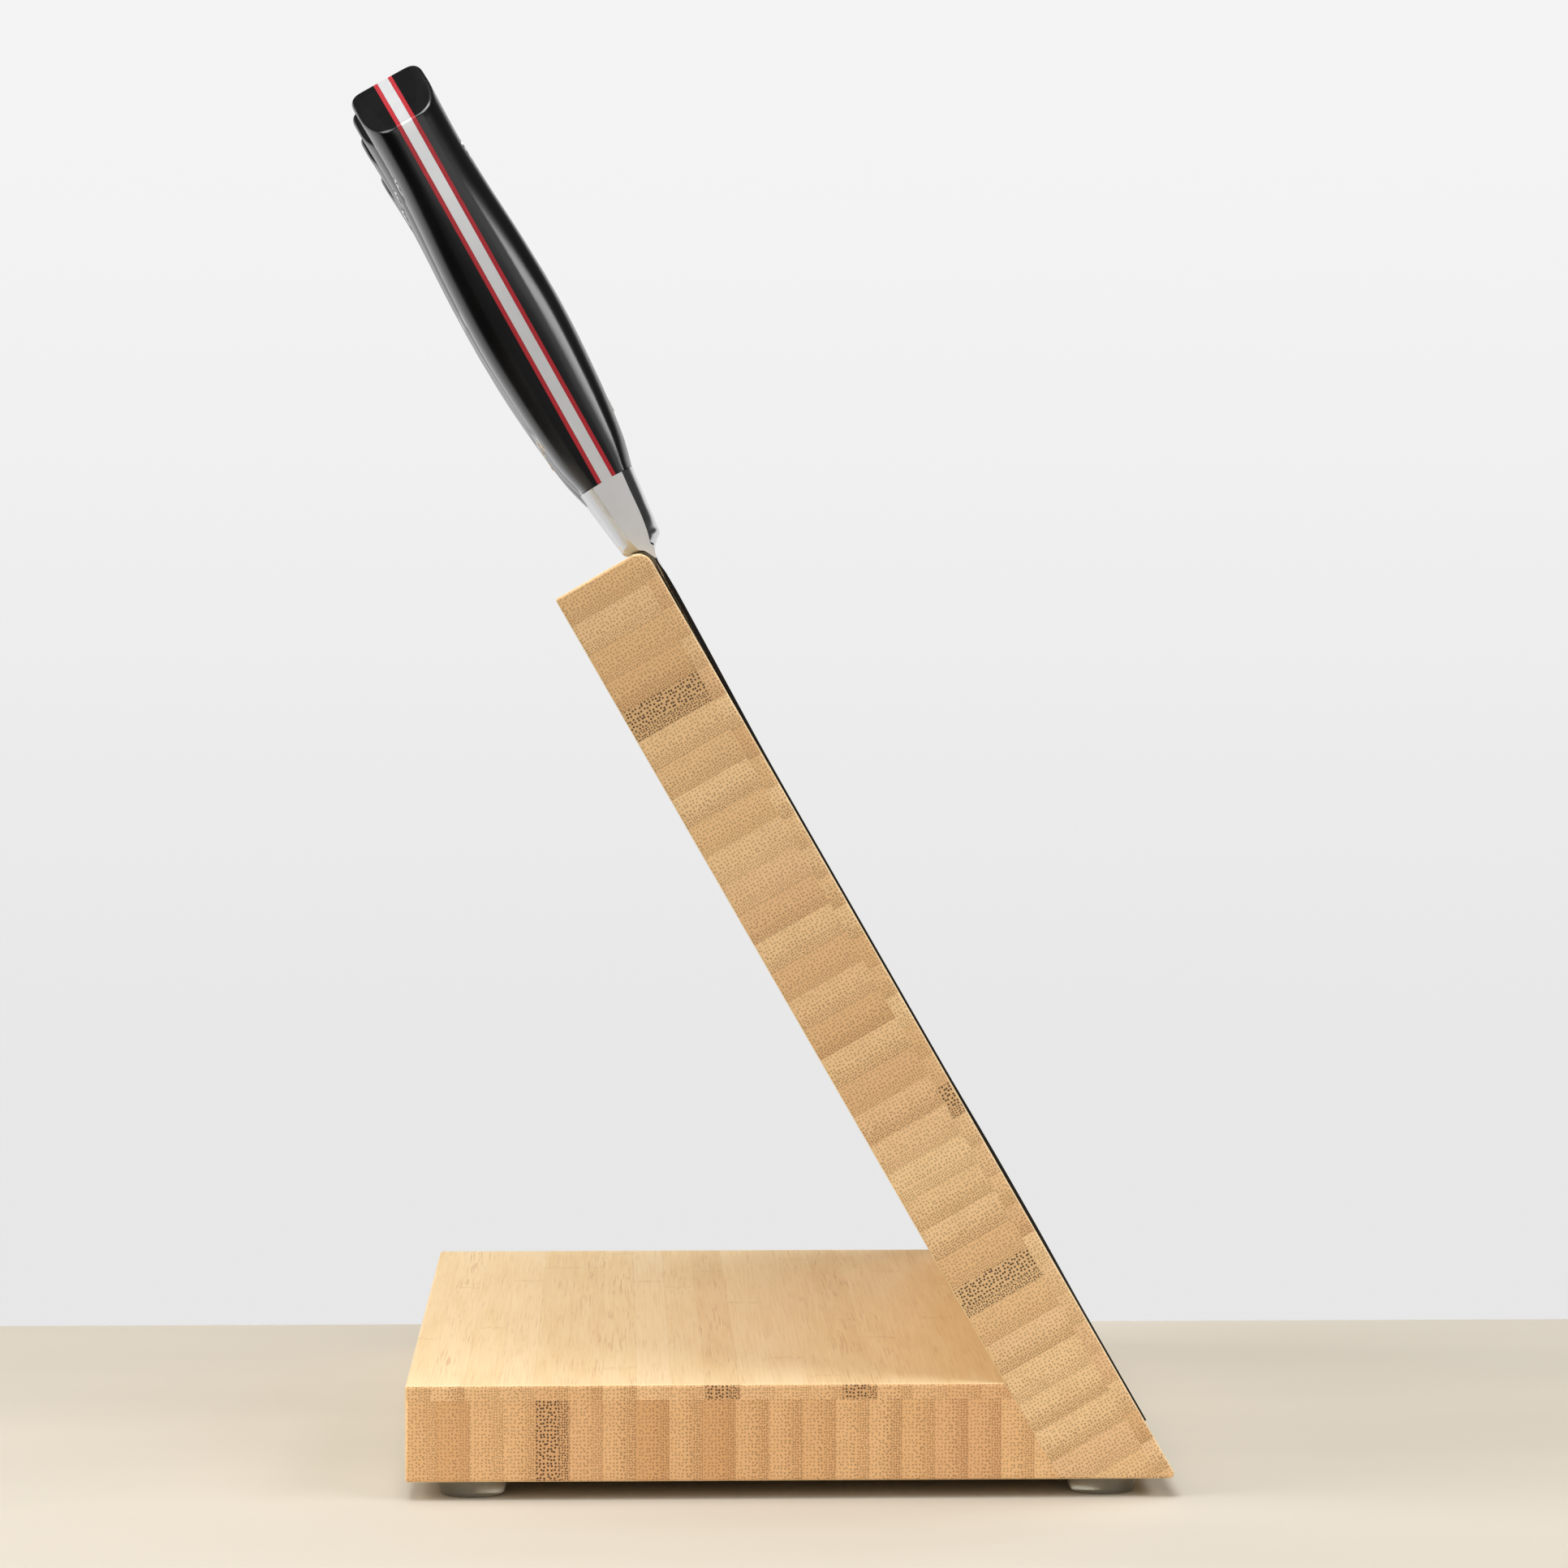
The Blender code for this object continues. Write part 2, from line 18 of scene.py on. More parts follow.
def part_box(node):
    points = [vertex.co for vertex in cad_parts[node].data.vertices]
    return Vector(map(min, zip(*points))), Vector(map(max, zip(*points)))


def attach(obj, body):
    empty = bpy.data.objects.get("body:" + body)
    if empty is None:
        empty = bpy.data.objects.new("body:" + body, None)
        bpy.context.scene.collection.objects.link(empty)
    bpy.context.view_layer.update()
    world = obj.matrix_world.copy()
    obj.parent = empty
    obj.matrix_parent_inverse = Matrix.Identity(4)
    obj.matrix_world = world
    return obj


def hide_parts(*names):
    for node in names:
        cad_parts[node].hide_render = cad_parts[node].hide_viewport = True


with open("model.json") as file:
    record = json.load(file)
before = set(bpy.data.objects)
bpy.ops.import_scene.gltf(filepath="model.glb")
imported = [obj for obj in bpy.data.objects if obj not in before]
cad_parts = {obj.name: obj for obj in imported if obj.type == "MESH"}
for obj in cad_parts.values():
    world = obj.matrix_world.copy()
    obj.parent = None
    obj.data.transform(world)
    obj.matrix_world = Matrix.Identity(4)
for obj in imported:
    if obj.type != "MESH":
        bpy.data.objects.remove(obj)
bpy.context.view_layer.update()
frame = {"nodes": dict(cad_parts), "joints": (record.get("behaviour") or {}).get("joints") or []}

MM = 0.001

# Repeated from the CAD model, whose source can't be read here
PLY_THICKNESS = 3.2 * MM
TOP_CORNER_RADIUS = 3.2 * MM
HANDLE_LENGTH = 86.1 * MM
BUTT_SLOPE = 12.1 * MM
BUTT_SLOPE_START = 30 * MM
TANG_HALF = 1.25 * MM
LINER_OUTER = 2.2 * MM
HANDLE_HALF_WIDTH = (
    (0, 6.0), (5.6, 7.4), (12.6, 8.4), (22.6, 9.3), (38, 10.0), (50.6, 9.6), (64.6, 8.6), (73, 8.2),
    (79, 8.3), (86.1, 8.5),
)  # fmt: skip
HANDLE_SPINE = ((0, 0.0), (20, -0.6), (45, -1.2), (65, -0.6), (86.1, 1.6))
HANDLE_BELLY = ((0, 22.0), (14, 23.2), (34, 25.2), (54, 24.4), (70, 24.2), (86.1, 28.6))
BOLSTER_HALF_WIDTH = (
    (-27, 0.5), (-23.2, 0.5), (-21, 0.75), (-19.2, 1.15), (-17.2, 1.95), (-16.1, 3.05), (-15.3, 4.05),
    (-13.4, 4.5), (-8.5, 5.08), (-4.3, 5.55), (0, 6.0),
)  # fmt: skip
BOLSTER_FACET_HALF = (
    (-30, 0.5), (-26, 0.42), (-23.2, 0.3), (-19.4, 0.1), (-16, 1.4), (-14.3, 1.9), (-12, 2.35), (-8.8, 2.75),
    (-4.3, 3.1), (0, 3.5),
)  # fmt: skip
BOLSTER_LENGTH = 22.7 * MM
NECK_BELLY = 20 * MM
HEEL_START = 19.5 * MM
HEEL_END = 23.2 * MM
BLADE_SHAPE_START = 18 * MM
BLADE_SHAPE_END = 27 * MM
BOLSTER_CORNER_OFFSET = 0.3 * MM
TIP_HALF = 0.25 * MM
RIVET_RADIUS = 3 * MM
RIVET_PLACES = (15 * MM, 43 * MM, 70 * MM)

# The finer shapes that only the looks need
TOUCH = 0.02 * MM  # between visible pieces that meet
REST_GAP = 0.1 * MM  # between a blade and the board
TOP_GAP = 0.75 * MM  # more of it under the bolster, where the blade stands off a little
TOP_GAP_REACH = 56 * MM
LOW_GAP = 0.25 * MM  # more of it about halfway to the point
LOW_GAP_REACH = (100 * MM, 72 * MM, 62 * MM, 35 * MM)  # the heights between which it comes and goes
RIM_RADIUS = 0.7 * MM
RIM_STEPS = 4
CORNER_STEPS = 10
LEAST_CORNER = 0.1 * MM
TOE_EASING = 1.0 * MM
FOOT_TAPER = 1.0 * MM  # how much smaller a foot's radius is at the bottom
FOOT_ROUNDING = 0.6 * MM
BUTT_ROUNDING = 1.0 * MM
TANG_START = 0.1 * MM  # up the handle from the bolster's shoulder
COVER_START = 0.15 * MM  # where liners and scales begin
RIVET_PROUD = 0.05 * MM
RIVET_DOME = 0.16 * MM
SQUARENESS = 2.6  # of a scale's section
BUTT_SQUARENESS = (2.5, 7.0)  # towards the spine and the belly
BUTT_WIDEST = 0.65  # how deep the butt is widest, from the spine
BUTT_SHAPE_START = 55 * MM
FACET_END = 19.4 * MM
EDGE_BEVEL_LEVEL = 0.965
EDGE_BEVEL_HALF = 0.28 * MM
CUTTING_EDGE_HALF = 0.04 * MM
POINT_HEIGHT = 1.2 * MM  # of a blade's section at its very end
POINT_TAPER_SHARE = 0.3  # of a blade's length, over which its spine thins to TIP_HALF
SPINE_DROP_POWER = 1.8  # how late a blade's spine drops to the point

# How finely the curved pieces are divided
TANG_ROWS = 40
TANG_BUTT_ROWS = 5
SCALE_ROWS = 64
SCALE_BUTT_ROWS = 8
SCALE_SIDES = 36
BLADE_ROWS = 70
BLADE_ROW_CROWDING = 1.35  # brings a blade's rows closer together towards its point
BOLSTER_ROWS = 64
TURNED_SIDES = 48
RIVET_SIDES = 40
MERGE_DISTANCE = 0.001 * MM

# Edges sharper than these angles, in degrees, stay sharp
BOARD_EDGE = 50
TURNED_EDGE = 40
FORGED_EDGE = 30

DOWELS = ("front", "middle", "back")
MAGNETS = ("low", "middle", "high")

# Bamboo strips
STRIP_PITCH = 6.92 * MM
PLY_STRIP_PITCH = 7.16 * MM
BASE_CORE_SHIFT = -0.47 * MM
BASE_PLY_SHIFT = -1.98 * MM
UPRIGHT_SHIFT = 2.6 * MM
UPRIGHT_PLY_SHIFT = 3.0 * MM


@dataclass(frozen=True)
class Knife:
    """One knife, as in the CAD model."""

    name: str
    spine_y: float
    rise: float
    cant: float
    handle_scale: float
    blade_length: float
    blade_height: float
    point_drop: float
    spine_start: float
    belly_power: float
    spine_half: float


KNIVES = (
    Knife("chef_knife", -95 * MM, 16.3 * MM, 0.56, 1.0, 208 * MM, 46 * MM, 10 * MM, 0.5, 2.2, 0.4 * MM),
    Knife("slicing_knife", -40 * MM, 18.8 * MM, -0.2, 1.0, 203 * MM, 32 * MM, 9 * MM, 0.45, 3.6, 0.5 * MM),
    Knife("santoku_knife", 2 * MM, 17.9 * MM, -0.6, 1.0, 178 * MM, 46 * MM, 33 * MM, 0.62, 3.0, 0.5 * MM),
    Knife("utility_knife", 58 * MM, 15.9 * MM, -0.95, 0.97, 127 * MM, 23.5 * MM, 8 * MM, 0.4, 2.6, 0.45 * MM),
)


# ---------------------------------------------------------------- the CAD model's measures


def span(node, direction):
    """A CAD node's lowest and highest reach along a direction, from the origin."""
    reaches = [v.co.dot(direction) for v in frame["nodes"][node].data.vertices]
    return min(reaches), max(reaches)


pull = Vector(frame["joints"][0]["axis"]).normalized()  # out of the board's face
LEAN = math.atan2(pull.z, pull.x)
up_board = Vector((-math.sin(LEAN), 0, math.cos(LEAN)))
base_low, base_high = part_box("base_core")
UNDERSIDE_Z = base_low.z
BASE_END_X = base_low.x
BASE_TOP_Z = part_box("base_top_ply")[1].z
FRONT_Y, BACK_Y = base_low.y, base_high.y
face_reach = span("upright_face_ply", pull)[1]
TOE = Vector(((face_reach - UNDERSIDE_Z * pull.z) / pull.x, 0, UNDERSIDE_Z))
UPRIGHT_THICKNESS = face_reach - span("upright_core", pull)[0]
UPRIGHT_LENGTH = span("upright_core", up_board)[1] - TOE.dot(up_board)
BOARD_MATRIX = Matrix.Translation(TOE) @ Matrix.Rotation(-LEAN, 4, "Y")


# ---------------------------------------------------------------- node trees


class Nodes:
    """A node tree that is built by short calls. A socket or a plain value feeds any input."""

    def __init__(self, owner):
        owner.use_nodes = True
        self.tree = owner.node_tree

    def add(self, kind, inputs=(), **settings):
        node = self.tree.nodes.new(kind)
        for key, value in settings.items():
            setattr(node, key, value)
        for key, value in dict(inputs).items():
            self.feed(node.inputs[key], value)
        return node

    def feed(self, socket, value):
        if isinstance(value, bpy.types.NodeSocket):
            self.tree.links.new(value, socket)
        else:
            socket.default_value = value

    def math(self, operation, a, b=0.0, c=0.0):
        return self.add("ShaderNodeMath", {0: a, 1: b, 2: c}, operation=operation).outputs[0]

    def rise(self, value, start, end, low=0.0, high=1.0):
        """Goes smoothly from low to high as value goes from start to end."""
        inputs = {"Value": value, "From Min": start, "From Max": end, "To Min": low, "To Max": high}
        return self.add("ShaderNodeMapRange", inputs, interpolation_type="SMOOTHSTEP").outputs[0]

    def mix(self, factor, a, b, blend="MIX"):
        node = self.add("ShaderNodeMix", {0: factor}, data_type="RGBA", blend_type=blend)
        for socket, value in ((node.inputs[6], a), (node.inputs[7], b)):
            self.feed(socket, (*value, 1.0) if isinstance(value, tuple) else value)
        return node.outputs[2]

    def place(self):
        """The piece's own X, Y and Z."""
        coordinates = self.add("ShaderNodeTexCoord")
        return self.add("ShaderNodeSeparateXYZ", {0: coordinates.outputs["Object"]}).outputs

    def vector(self, x, y, z=0.0):
        return self.add("ShaderNodeCombineXYZ", {0: x, 1: y, 2: z}).outputs[0]

    def stretched(self, spacing):
        """The piece's place, in grains of the given size along X, Y and Z."""
        x, y, z = self.place()
        sizes = [self.math("DIVIDE", axis, size) for axis, size in zip((x, y, z), spacing, strict=True)]
        return self.vector(*sizes)

    def noise(self, vector, detail=2.0, roughness=0.5):
        inputs = {"Vector": vector, "Scale": 1.0, "Detail": detail, "Roughness": roughness}
        return self.add("ShaderNodeTexNoise", inputs).outputs[0]

    def random(self, number):
        """Three random values for a whole number."""
        node = self.add("ShaderNodeTexWhiteNoise", {"W": number}, noise_dimensions="1D")
        return self.add("ShaderNodeSeparateColor", {0: node.outputs["Color"]}).outputs

    def ramp(self, factor, *stops):
        node = self.add("ShaderNodeValToRGB", {0: factor})
        elements = node.color_ramp.elements
        while len(elements) < len(stops):
            elements.new(0.5)
        for element, (position, colour) in zip(elements, stops, strict=True):
            element.position = position
            element.color = (*colour, 1.0)
        return node.outputs[0]


class Material(Nodes):
    """A material's node tree, with its shader."""

    def __init__(self, name):
        self.material = bpy.data.materials.new(name)
        super().__init__(self.material)
        self.shader = self.tree.nodes["Principled BSDF"]

    def set(self, **values):
        """Feeds the shader's inputs, named with underscores for spaces."""
        for key, value in values.items():
            self.feed(self.shader.inputs[key.replace("_", " ")], value)

    def bump(self, height, distance, strength):
        inputs = {"Height": height, "Distance": distance, "Strength": strength}
        self.feed(self.shader.inputs["Normal"], self.add("ShaderNodeBump", inputs).outputs[0])


# ---------------------------------------------------------------- bamboo


@dataclass(frozen=True)
class Strips:
    """How a board's glued strips lie: side by side along X or Z, in pieces of one pitch from a shift."""

    axis: str
    pitch: float
    shift: float
    seed: float


def strip_values(nodes, strips):
    """Where a point lies among the strips: the strip's number, the share across it, and three randoms."""
    x, _, z = nodes.place()
    across = x if strips.axis == "X" else z
    place = nodes.math("DIVIDE", nodes.math("SUBTRACT", across, strips.shift), strips.pitch)
    number = nodes.math("FLOOR", place)
    return number, nodes.math("FRACT", place), nodes.random(nodes.math("ADD", number, strips.seed))


def is_one_of(nodes, number, wanted):
    """1 on the strips in wanted, else 0."""
    found = 0.0
    for value in wanted:
        found = nodes.math("MAXIMUM", found, nodes.math("COMPARE", number, value, 0.4))
    return found


def dots(nodes, spacing, radius, softness):
    """Round vessels across X and Z, spacing apart. radius and softness are shares of the spacing."""
    x, _, z = nodes.place()
    vector = nodes.vector(nodes.math("DIVIDE", x, spacing), nodes.math("DIVIDE", z, spacing))
    inputs = {"Vector": vector, "Scale": 1.0, "Randomness": 0.5}
    cells = nodes.add("ShaderNodeTexVoronoi", inputs, voronoi_dimensions="2D")
    outer = nodes.math("ADD", radius, softness)
    return nodes.rise(cells.outputs["Distance"], radius, outer, 1.0, 0.0)


def end_grain(name, strips, bold_strips, tint, flip=False):
    """Sawn ends of bamboo strips: each has its own tone, and vessels that crowd towards one side."""
    nodes = Material(name)
    number, share, (tone, hue, vigour) = strip_values(nodes, strips)
    if flip:
        share = nodes.math("SUBTRACT", 1.0, share)
    bold = is_one_of(nodes, number, bold_strips)
    colour = nodes.ramp(
        tone,
        (0.0, (0.66, 0.35, 0.14)),
        (0.3, (0.75, 0.435, 0.19)),
        (0.65, (0.81, 0.505, 0.235)),
        (1.0, (0.72, 0.405, 0.175)),
    )
    colour = nodes.mix(nodes.rise(hue, 0.5, 1.0, 0.0, 0.45), colour, (0.74, 0.41, 0.20))
    cloud = nodes.noise(nodes.stretched((5 * MM, 5 * MM, 5 * MM)), detail=3.0)
    colour = nodes.mix(nodes.rise(cloud, 0.35, 0.7, 0.0, 0.3), colour, (0.62, 0.35, 0.15))
    crowd = nodes.rise(share, 0.1, 0.95)
    crowd = nodes.math("MULTIPLY", crowd, nodes.rise(vigour, 0.0, 1.0, 0.55, 1.0))
    crowd = nodes.math("MAXIMUM", crowd, bold)
    radius = nodes.math("MULTIPLY_ADD", crowd, 0.05, 0.21)
    depth = nodes.math("MULTIPLY_ADD", crowd, 0.32, 0.5)
    depth = nodes.math("MULTIPLY_ADD", bold, 0.25, depth)
    coarse, fine = (dots(nodes, spacing, radius, 0.08) for spacing in (0.76 * MM, 0.54 * MM))
    close = nodes.rise(share, 0.62, 0.78)
    speck = nodes.add("ShaderNodeMix", {0: close, 2: coarse, 3: fine}).outputs[0]
    speck = nodes.math("MULTIPLY", speck, depth)
    shade = nodes.math("MULTIPLY", nodes.math("MULTIPLY", crowd, crowd), 0.42)
    colour = nodes.mix(shade, colour, (0.50, 0.25, 0.09))
    colour = nodes.mix(speck, colour, nodes.mix(bold, (0.23, 0.085, 0.024), (0.05, 0.016, 0.002)))
    seam = nodes.math("PINGPONG", share, 0.5)
    colour = nodes.mix(nodes.rise(seam, 0.0, 0.022, 0.4, 0.0), colour, (0.36, 0.17, 0.065))
    fuzz = nodes.noise(nodes.stretched((0.25 * MM, 1.0, 0.25 * MM)), detail=1.0)
    colour = nodes.mix(nodes.rise(fuzz, 0.25, 0.75, 0.0, 0.12), colour, (0.90, 0.64, 0.37))
    colour = nodes.mix(1.0, colour, tint, "MULTIPLY")
    nodes.set(Base_Color=colour, Roughness=nodes.rise(speck, 0.0, 1.0, 0.5, 0.7))
    nodes.set(Specular_IOR_Level=0.3)
    nodes.bump(nodes.math("SUBTRACT", 1.0, speck), 0.05 * MM, 0.4)
    return nodes.material


def long_grain(name, strips):
    """Planed faces of the same strips: pale, with fine fibres, short brown vessel dashes and a few nodes."""
    nodes = Material(name)
    _, share, (tone, hue, vigour) = strip_values(nodes, strips)
    y = nodes.place()[1]
    colour = nodes.ramp(
        tone,
        (0.0, (0.80, 0.53, 0.28)),
        (0.4, (0.86, 0.60, 0.34)),
        (0.75, (0.89, 0.64, 0.39)),
        (1.0, (0.83, 0.56, 0.31)),
    )
    fibre = nodes.noise(nodes.stretched((0.35 * MM, 30 * MM, 0.35 * MM)), detail=3.0, roughness=0.6)
    colour = nodes.mix(nodes.rise(fibre, 0.35, 0.75, 0.0, 0.4), colour, (0.72, 0.45, 0.22))
    broad = nodes.noise(nodes.stretched((3.5 * MM, 40 * MM, 3.5 * MM)), detail=2.0)
    colour = nodes.mix(nodes.rise(broad, 0.35, 0.7, 0.0, 0.4), colour, (0.92, 0.68, 0.43))
    dash = nodes.noise(nodes.stretched((0.32 * MM, 18 * MM, 0.32 * MM)), detail=1.0)
    wanted = nodes.noise(nodes.stretched((6 * MM, 30 * MM, 6 * MM)), detail=2.0)
    dash = nodes.math("MULTIPLY", nodes.rise(dash, 0.56, 0.66), nodes.rise(wanted, 0.38, 0.6))
    dash = nodes.math("MULTIPLY", dash, nodes.rise(vigour, 0.0, 1.0, 0.3, 0.65))
    colour = nodes.mix(dash, colour, (0.62, 0.33, 0.15))
    ripple = nodes.noise(nodes.stretched((1.6 * MM, 1.0, 1.6 * MM)), detail=3.0)
    ripple = nodes.math("MULTIPLY_ADD", ripple, 9 * MM, nodes.math("MULTIPLY", hue, 190 * MM))
    band = nodes.math("PINGPONG", nodes.math("ADD", y, ripple), 95 * MM)
    band = nodes.rise(band, 0.0, 2.4 * MM, 1.0, 0.0)
    knots = nodes.noise(nodes.stretched((0.7 * MM, 3 * MM, 0.7 * MM)), detail=2.0)
    band = nodes.math("MULTIPLY", band, nodes.rise(knots, 0.42, 0.62, 0.08, 0.35))
    colour = nodes.mix(band, colour, (0.56, 0.30, 0.13))
    seam = nodes.math("PINGPONG", share, 0.5)
    colour = nodes.mix(nodes.rise(seam, 0.0, 0.018, 0.2, 0.0), colour, (0.55, 0.31, 0.14))
    colour = nodes.mix(1.0, colour, (1.02, 1.11, 1.10), "MULTIPLY")
    nodes.set(Base_Color=colour, Roughness=nodes.rise(fibre, 0.3, 0.8, 0.42, 0.56))
    nodes.set(Specular_IOR_Level=0.35)
    nodes.bump(nodes.math("SUBTRACT", fibre, dash), 0.05 * MM, 0.35)
    return nodes.material


# ---------------------------------------------------------------- other materials


def steel(name, colour, roughness, grain, spread=0.08, strength=0.25, metallic=1.0):
    """Steel with a grain: grain gives the scratches' sizes along X, Y and Z."""
    nodes = Material(name)
    scratches = nodes.noise(nodes.stretched(grain), detail=3.0, roughness=0.6)
    cloud = nodes.noise(nodes.stretched((9 * MM, 9 * MM, 9 * MM)), detail=2.0)
    tone = nodes.mix(nodes.rise(cloud, 0.3, 0.7), colour, tuple(c * 0.95 for c in colour))
    nodes.set(Base_Color=tone, Metallic=metallic)
    nodes.set(Roughness=nodes.rise(scratches, 0.25, 0.75, roughness - spread, roughness + spread))
    nodes.bump(scratches, 0.01 * MM, strength)
    return nodes.material


def black_scale():
    """Satin black moulded handle scale."""
    nodes = Material("black_scale")
    pores = nodes.noise(nodes.stretched((0.25 * MM,) * 3), detail=2.0)
    wear = nodes.noise(nodes.stretched((14 * MM, 14 * MM, 30 * MM)), detail=3.0)
    colour = nodes.mix(nodes.rise(wear, 0.3, 0.7), (0.0035, 0.0035, 0.004), (0.0055, 0.0053, 0.0055))
    nodes.set(Base_Color=colour, Roughness=nodes.rise(wear, 0.3, 0.7, 0.20, 0.25))
    nodes.set(Specular_IOR_Level=0.55)
    nodes.bump(pores, 0.003 * MM, 0.4)
    return nodes.material


def red_liner():
    """Red fibre sheet between tang and scales."""
    nodes = Material("red_liner")
    fibres = nodes.noise(nodes.stretched((0.3 * MM, 0.3 * MM, 5 * MM)), detail=3.0)
    colour = nodes.mix(nodes.rise(fibres, 0.3, 0.7), (0.46, 0.010, 0.020), (0.36, 0.008, 0.016))
    nodes.set(Base_Color=colour, Roughness=nodes.rise(fibres, 0.3, 0.7, 0.35, 0.5))
    nodes.bump(fibres, 0.01 * MM, 0.3)
    return nodes.material


def clear_rubber():
    """Slightly hazy clear rubber."""
    nodes = Material("clear_rubber")
    haze = nodes.noise(nodes.stretched((2.5 * MM,) * 3), detail=3.0)
    colour = nodes.mix(nodes.rise(haze, 0.3, 0.7), (0.80, 0.76, 0.64), (0.70, 0.66, 0.53))
    nodes.set(Base_Color=colour, Roughness=nodes.rise(haze, 0.3, 0.7, 0.12, 0.24))
    nodes.set(Transmission_Weight=0.8, IOR=1.46)
    nodes.bump(haze, 0.05 * MM, 0.2)
    return nodes.material


def beech():
    """The dowels' turned beech, with its grain along X."""
    nodes = Material("beech_dowel")
    fibre = nodes.noise(nodes.stretched((16 * MM, 0.4 * MM, 0.4 * MM)), detail=3.0)
    fleck = nodes.noise(nodes.stretched((2.5 * MM, 0.5 * MM, 0.5 * MM)), detail=1.0)
    colour = nodes.mix(nodes.rise(fibre, 0.3, 0.7), (0.66, 0.46, 0.27), (0.52, 0.34, 0.18))
    colour = nodes.mix(nodes.rise(fleck, 0.62, 0.72, 0.0, 0.6), colour, (0.33, 0.18, 0.08))
    nodes.set(Base_Color=colour, Roughness=nodes.rise(fibre, 0.3, 0.7, 0.55, 0.7))
    nodes.bump(fibre, 0.05 * MM, 0.4)
    return nodes.material


def magnet_steel():
    """The hidden magnets' dull sintered skin."""
    nodes = Material("magnet")
    pits = nodes.noise(nodes.stretched((0.6 * MM,) * 3), detail=4.0)
    colour = nodes.mix(nodes.rise(pits, 0.3, 0.7), (0.10, 0.10, 0.105), (0.05, 0.05, 0.055))
    nodes.set(Base_Color=colour, Roughness=nodes.rise(pits, 0.3, 0.7, 0.45, 0.7), Metallic=0.6)
    nodes.bump(pits, 0.03 * MM, 0.5)
    return nodes.material


# ---------------------------------------------------------------- mesh tools


def finish_mesh(obj, angle):
    """Smooth shading, apart from edges sharper than the angle."""
    obj.data.shade_smooth()
    obj.data.set_sharp_from_angle(angle=math.radians(angle))


def new_piece(name, work, matrix, materials, angle=35):
    """A piece from a bmesh, which is used up."""
    if len(work.faces) > 1:
        bmesh.ops.recalc_face_normals(work, faces=work.faces)
    mesh = bpy.data.meshes.new(name)
    work.to_mesh(mesh)
    work.free()
    for material in materials:
        mesh.materials.append(material)
    obj = bpy.data.objects.new(name, mesh)
    bpy.context.scene.collection.objects.link(obj)
    obj.matrix_world = matrix
    finish_mesh(obj, angle)
    return obj


def loft(rings, row_material):
    """A closed bmesh through rings of equally many points.

    row_material picks a face's material slot by its row and side.
    """
    work = bmesh.new()
    rows = [[work.verts.new(point) for point in ring] for ring in rings]
    count = len(rings[0])
    for r, (low, high) in enumerate(zip(rows, rows[1:], strict=False)):
        for i in range(count):
            j = (i + 1) % count
            face = work.faces.new((low[i], low[j], high[j], high[i]))
            face.material_index = row_material(r, i)
    work.faces.new(rows[0]).material_index = row_material(0, 0)
    work.faces.new(rows[-1]).material_index = row_material(len(rows) - 2, 0)
    return work


def turned(profile, axis, sides):
    """A bmesh turned round an axis through the origin from a profile of points."""
    work = bmesh.new()
    line = [work.verts.new(point) for point in profile]
    edges = [work.edges.new(pair) for pair in zip(line, line[1:], strict=False)]
    bmesh.ops.spin(
        work, geom=line + edges, cent=(0, 0, 0), axis=axis, angle=2 * math.pi, steps=sides, use_merge=True
    )
    bmesh.ops.remove_doubles(work, verts=work.verts, dist=MERGE_DISTANCE)
    return work


def show(obj, body, node):
    """Puts a finished piece in its CAD node's place."""
    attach(obj, body)
    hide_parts(node)


def subtract(obj, cutters, angle=35):
    """Cuts the cutters out of a piece, for good."""
    for cutter in cutters:
        modifier = obj.modifiers.new("cut", "BOOLEAN")
        modifier.operation = "DIFFERENCE"
        modifier.solver = "EXACT"
        modifier.object = cutter
    bpy.context.view_layer.update()
    depsgraph = bpy.context.evaluated_depsgraph_get()
    mesh = bpy.data.meshes.new_from_object(obj.evaluated_get(depsgraph))
    obj.modifiers.clear()
    name, old = obj.data.name, obj.data
    obj.data = mesh
    bpy.data.meshes.remove(old)
    mesh.name = name
    finish_mesh(obj, angle)


def keep_flats_flat(obj):
    """Lets the big faces decide the shading, so that only the rims look round."""
    weights = obj.modifiers.new("weights", "WEIGHTED_NORMAL")
    weights.keep_sharp = True


def curve_through(points, place):
    """A smooth curve through (distance, size) points in millimetres, at a place in metres."""
    places, sizes = (np.array(column, float) for column in zip(*points, strict=True))
    slopes = np.gradient(sizes, places)
    at = float(np.clip(place / MM, places[0], places[-1]))
    i = int(np.clip(np.searchsorted(places, at) - 1, 0, len(places) - 2))
    width = places[i + 1] - places[i]
    u = (at - places[i]) / width
    start = sizes[i] * (1 + 2 * u) * (1 - u) ** 2 + slopes[i] * width * u * (1 - u) ** 2
    end = sizes[i + 1] * u**2 * (3 - 2 * u) + slopes[i + 1] * width * u**2 * (u - 1)
    return (start + end) * MM


def smooth_step(value, start, end):
    """Goes smoothly from 0 to 1 as value goes from start to end."""
    u = min(max((value - start) / (end - start), 0.0), 1.0)
    return u * u * (3 - 2 * u)


# ---------------------------------------------------------------- boards


STRAIGHT = 1e-6  # the sine of a corner's least turn
END_FACING = 0.75  # how squarely a face looks along the boards, if it is part of a sawn end


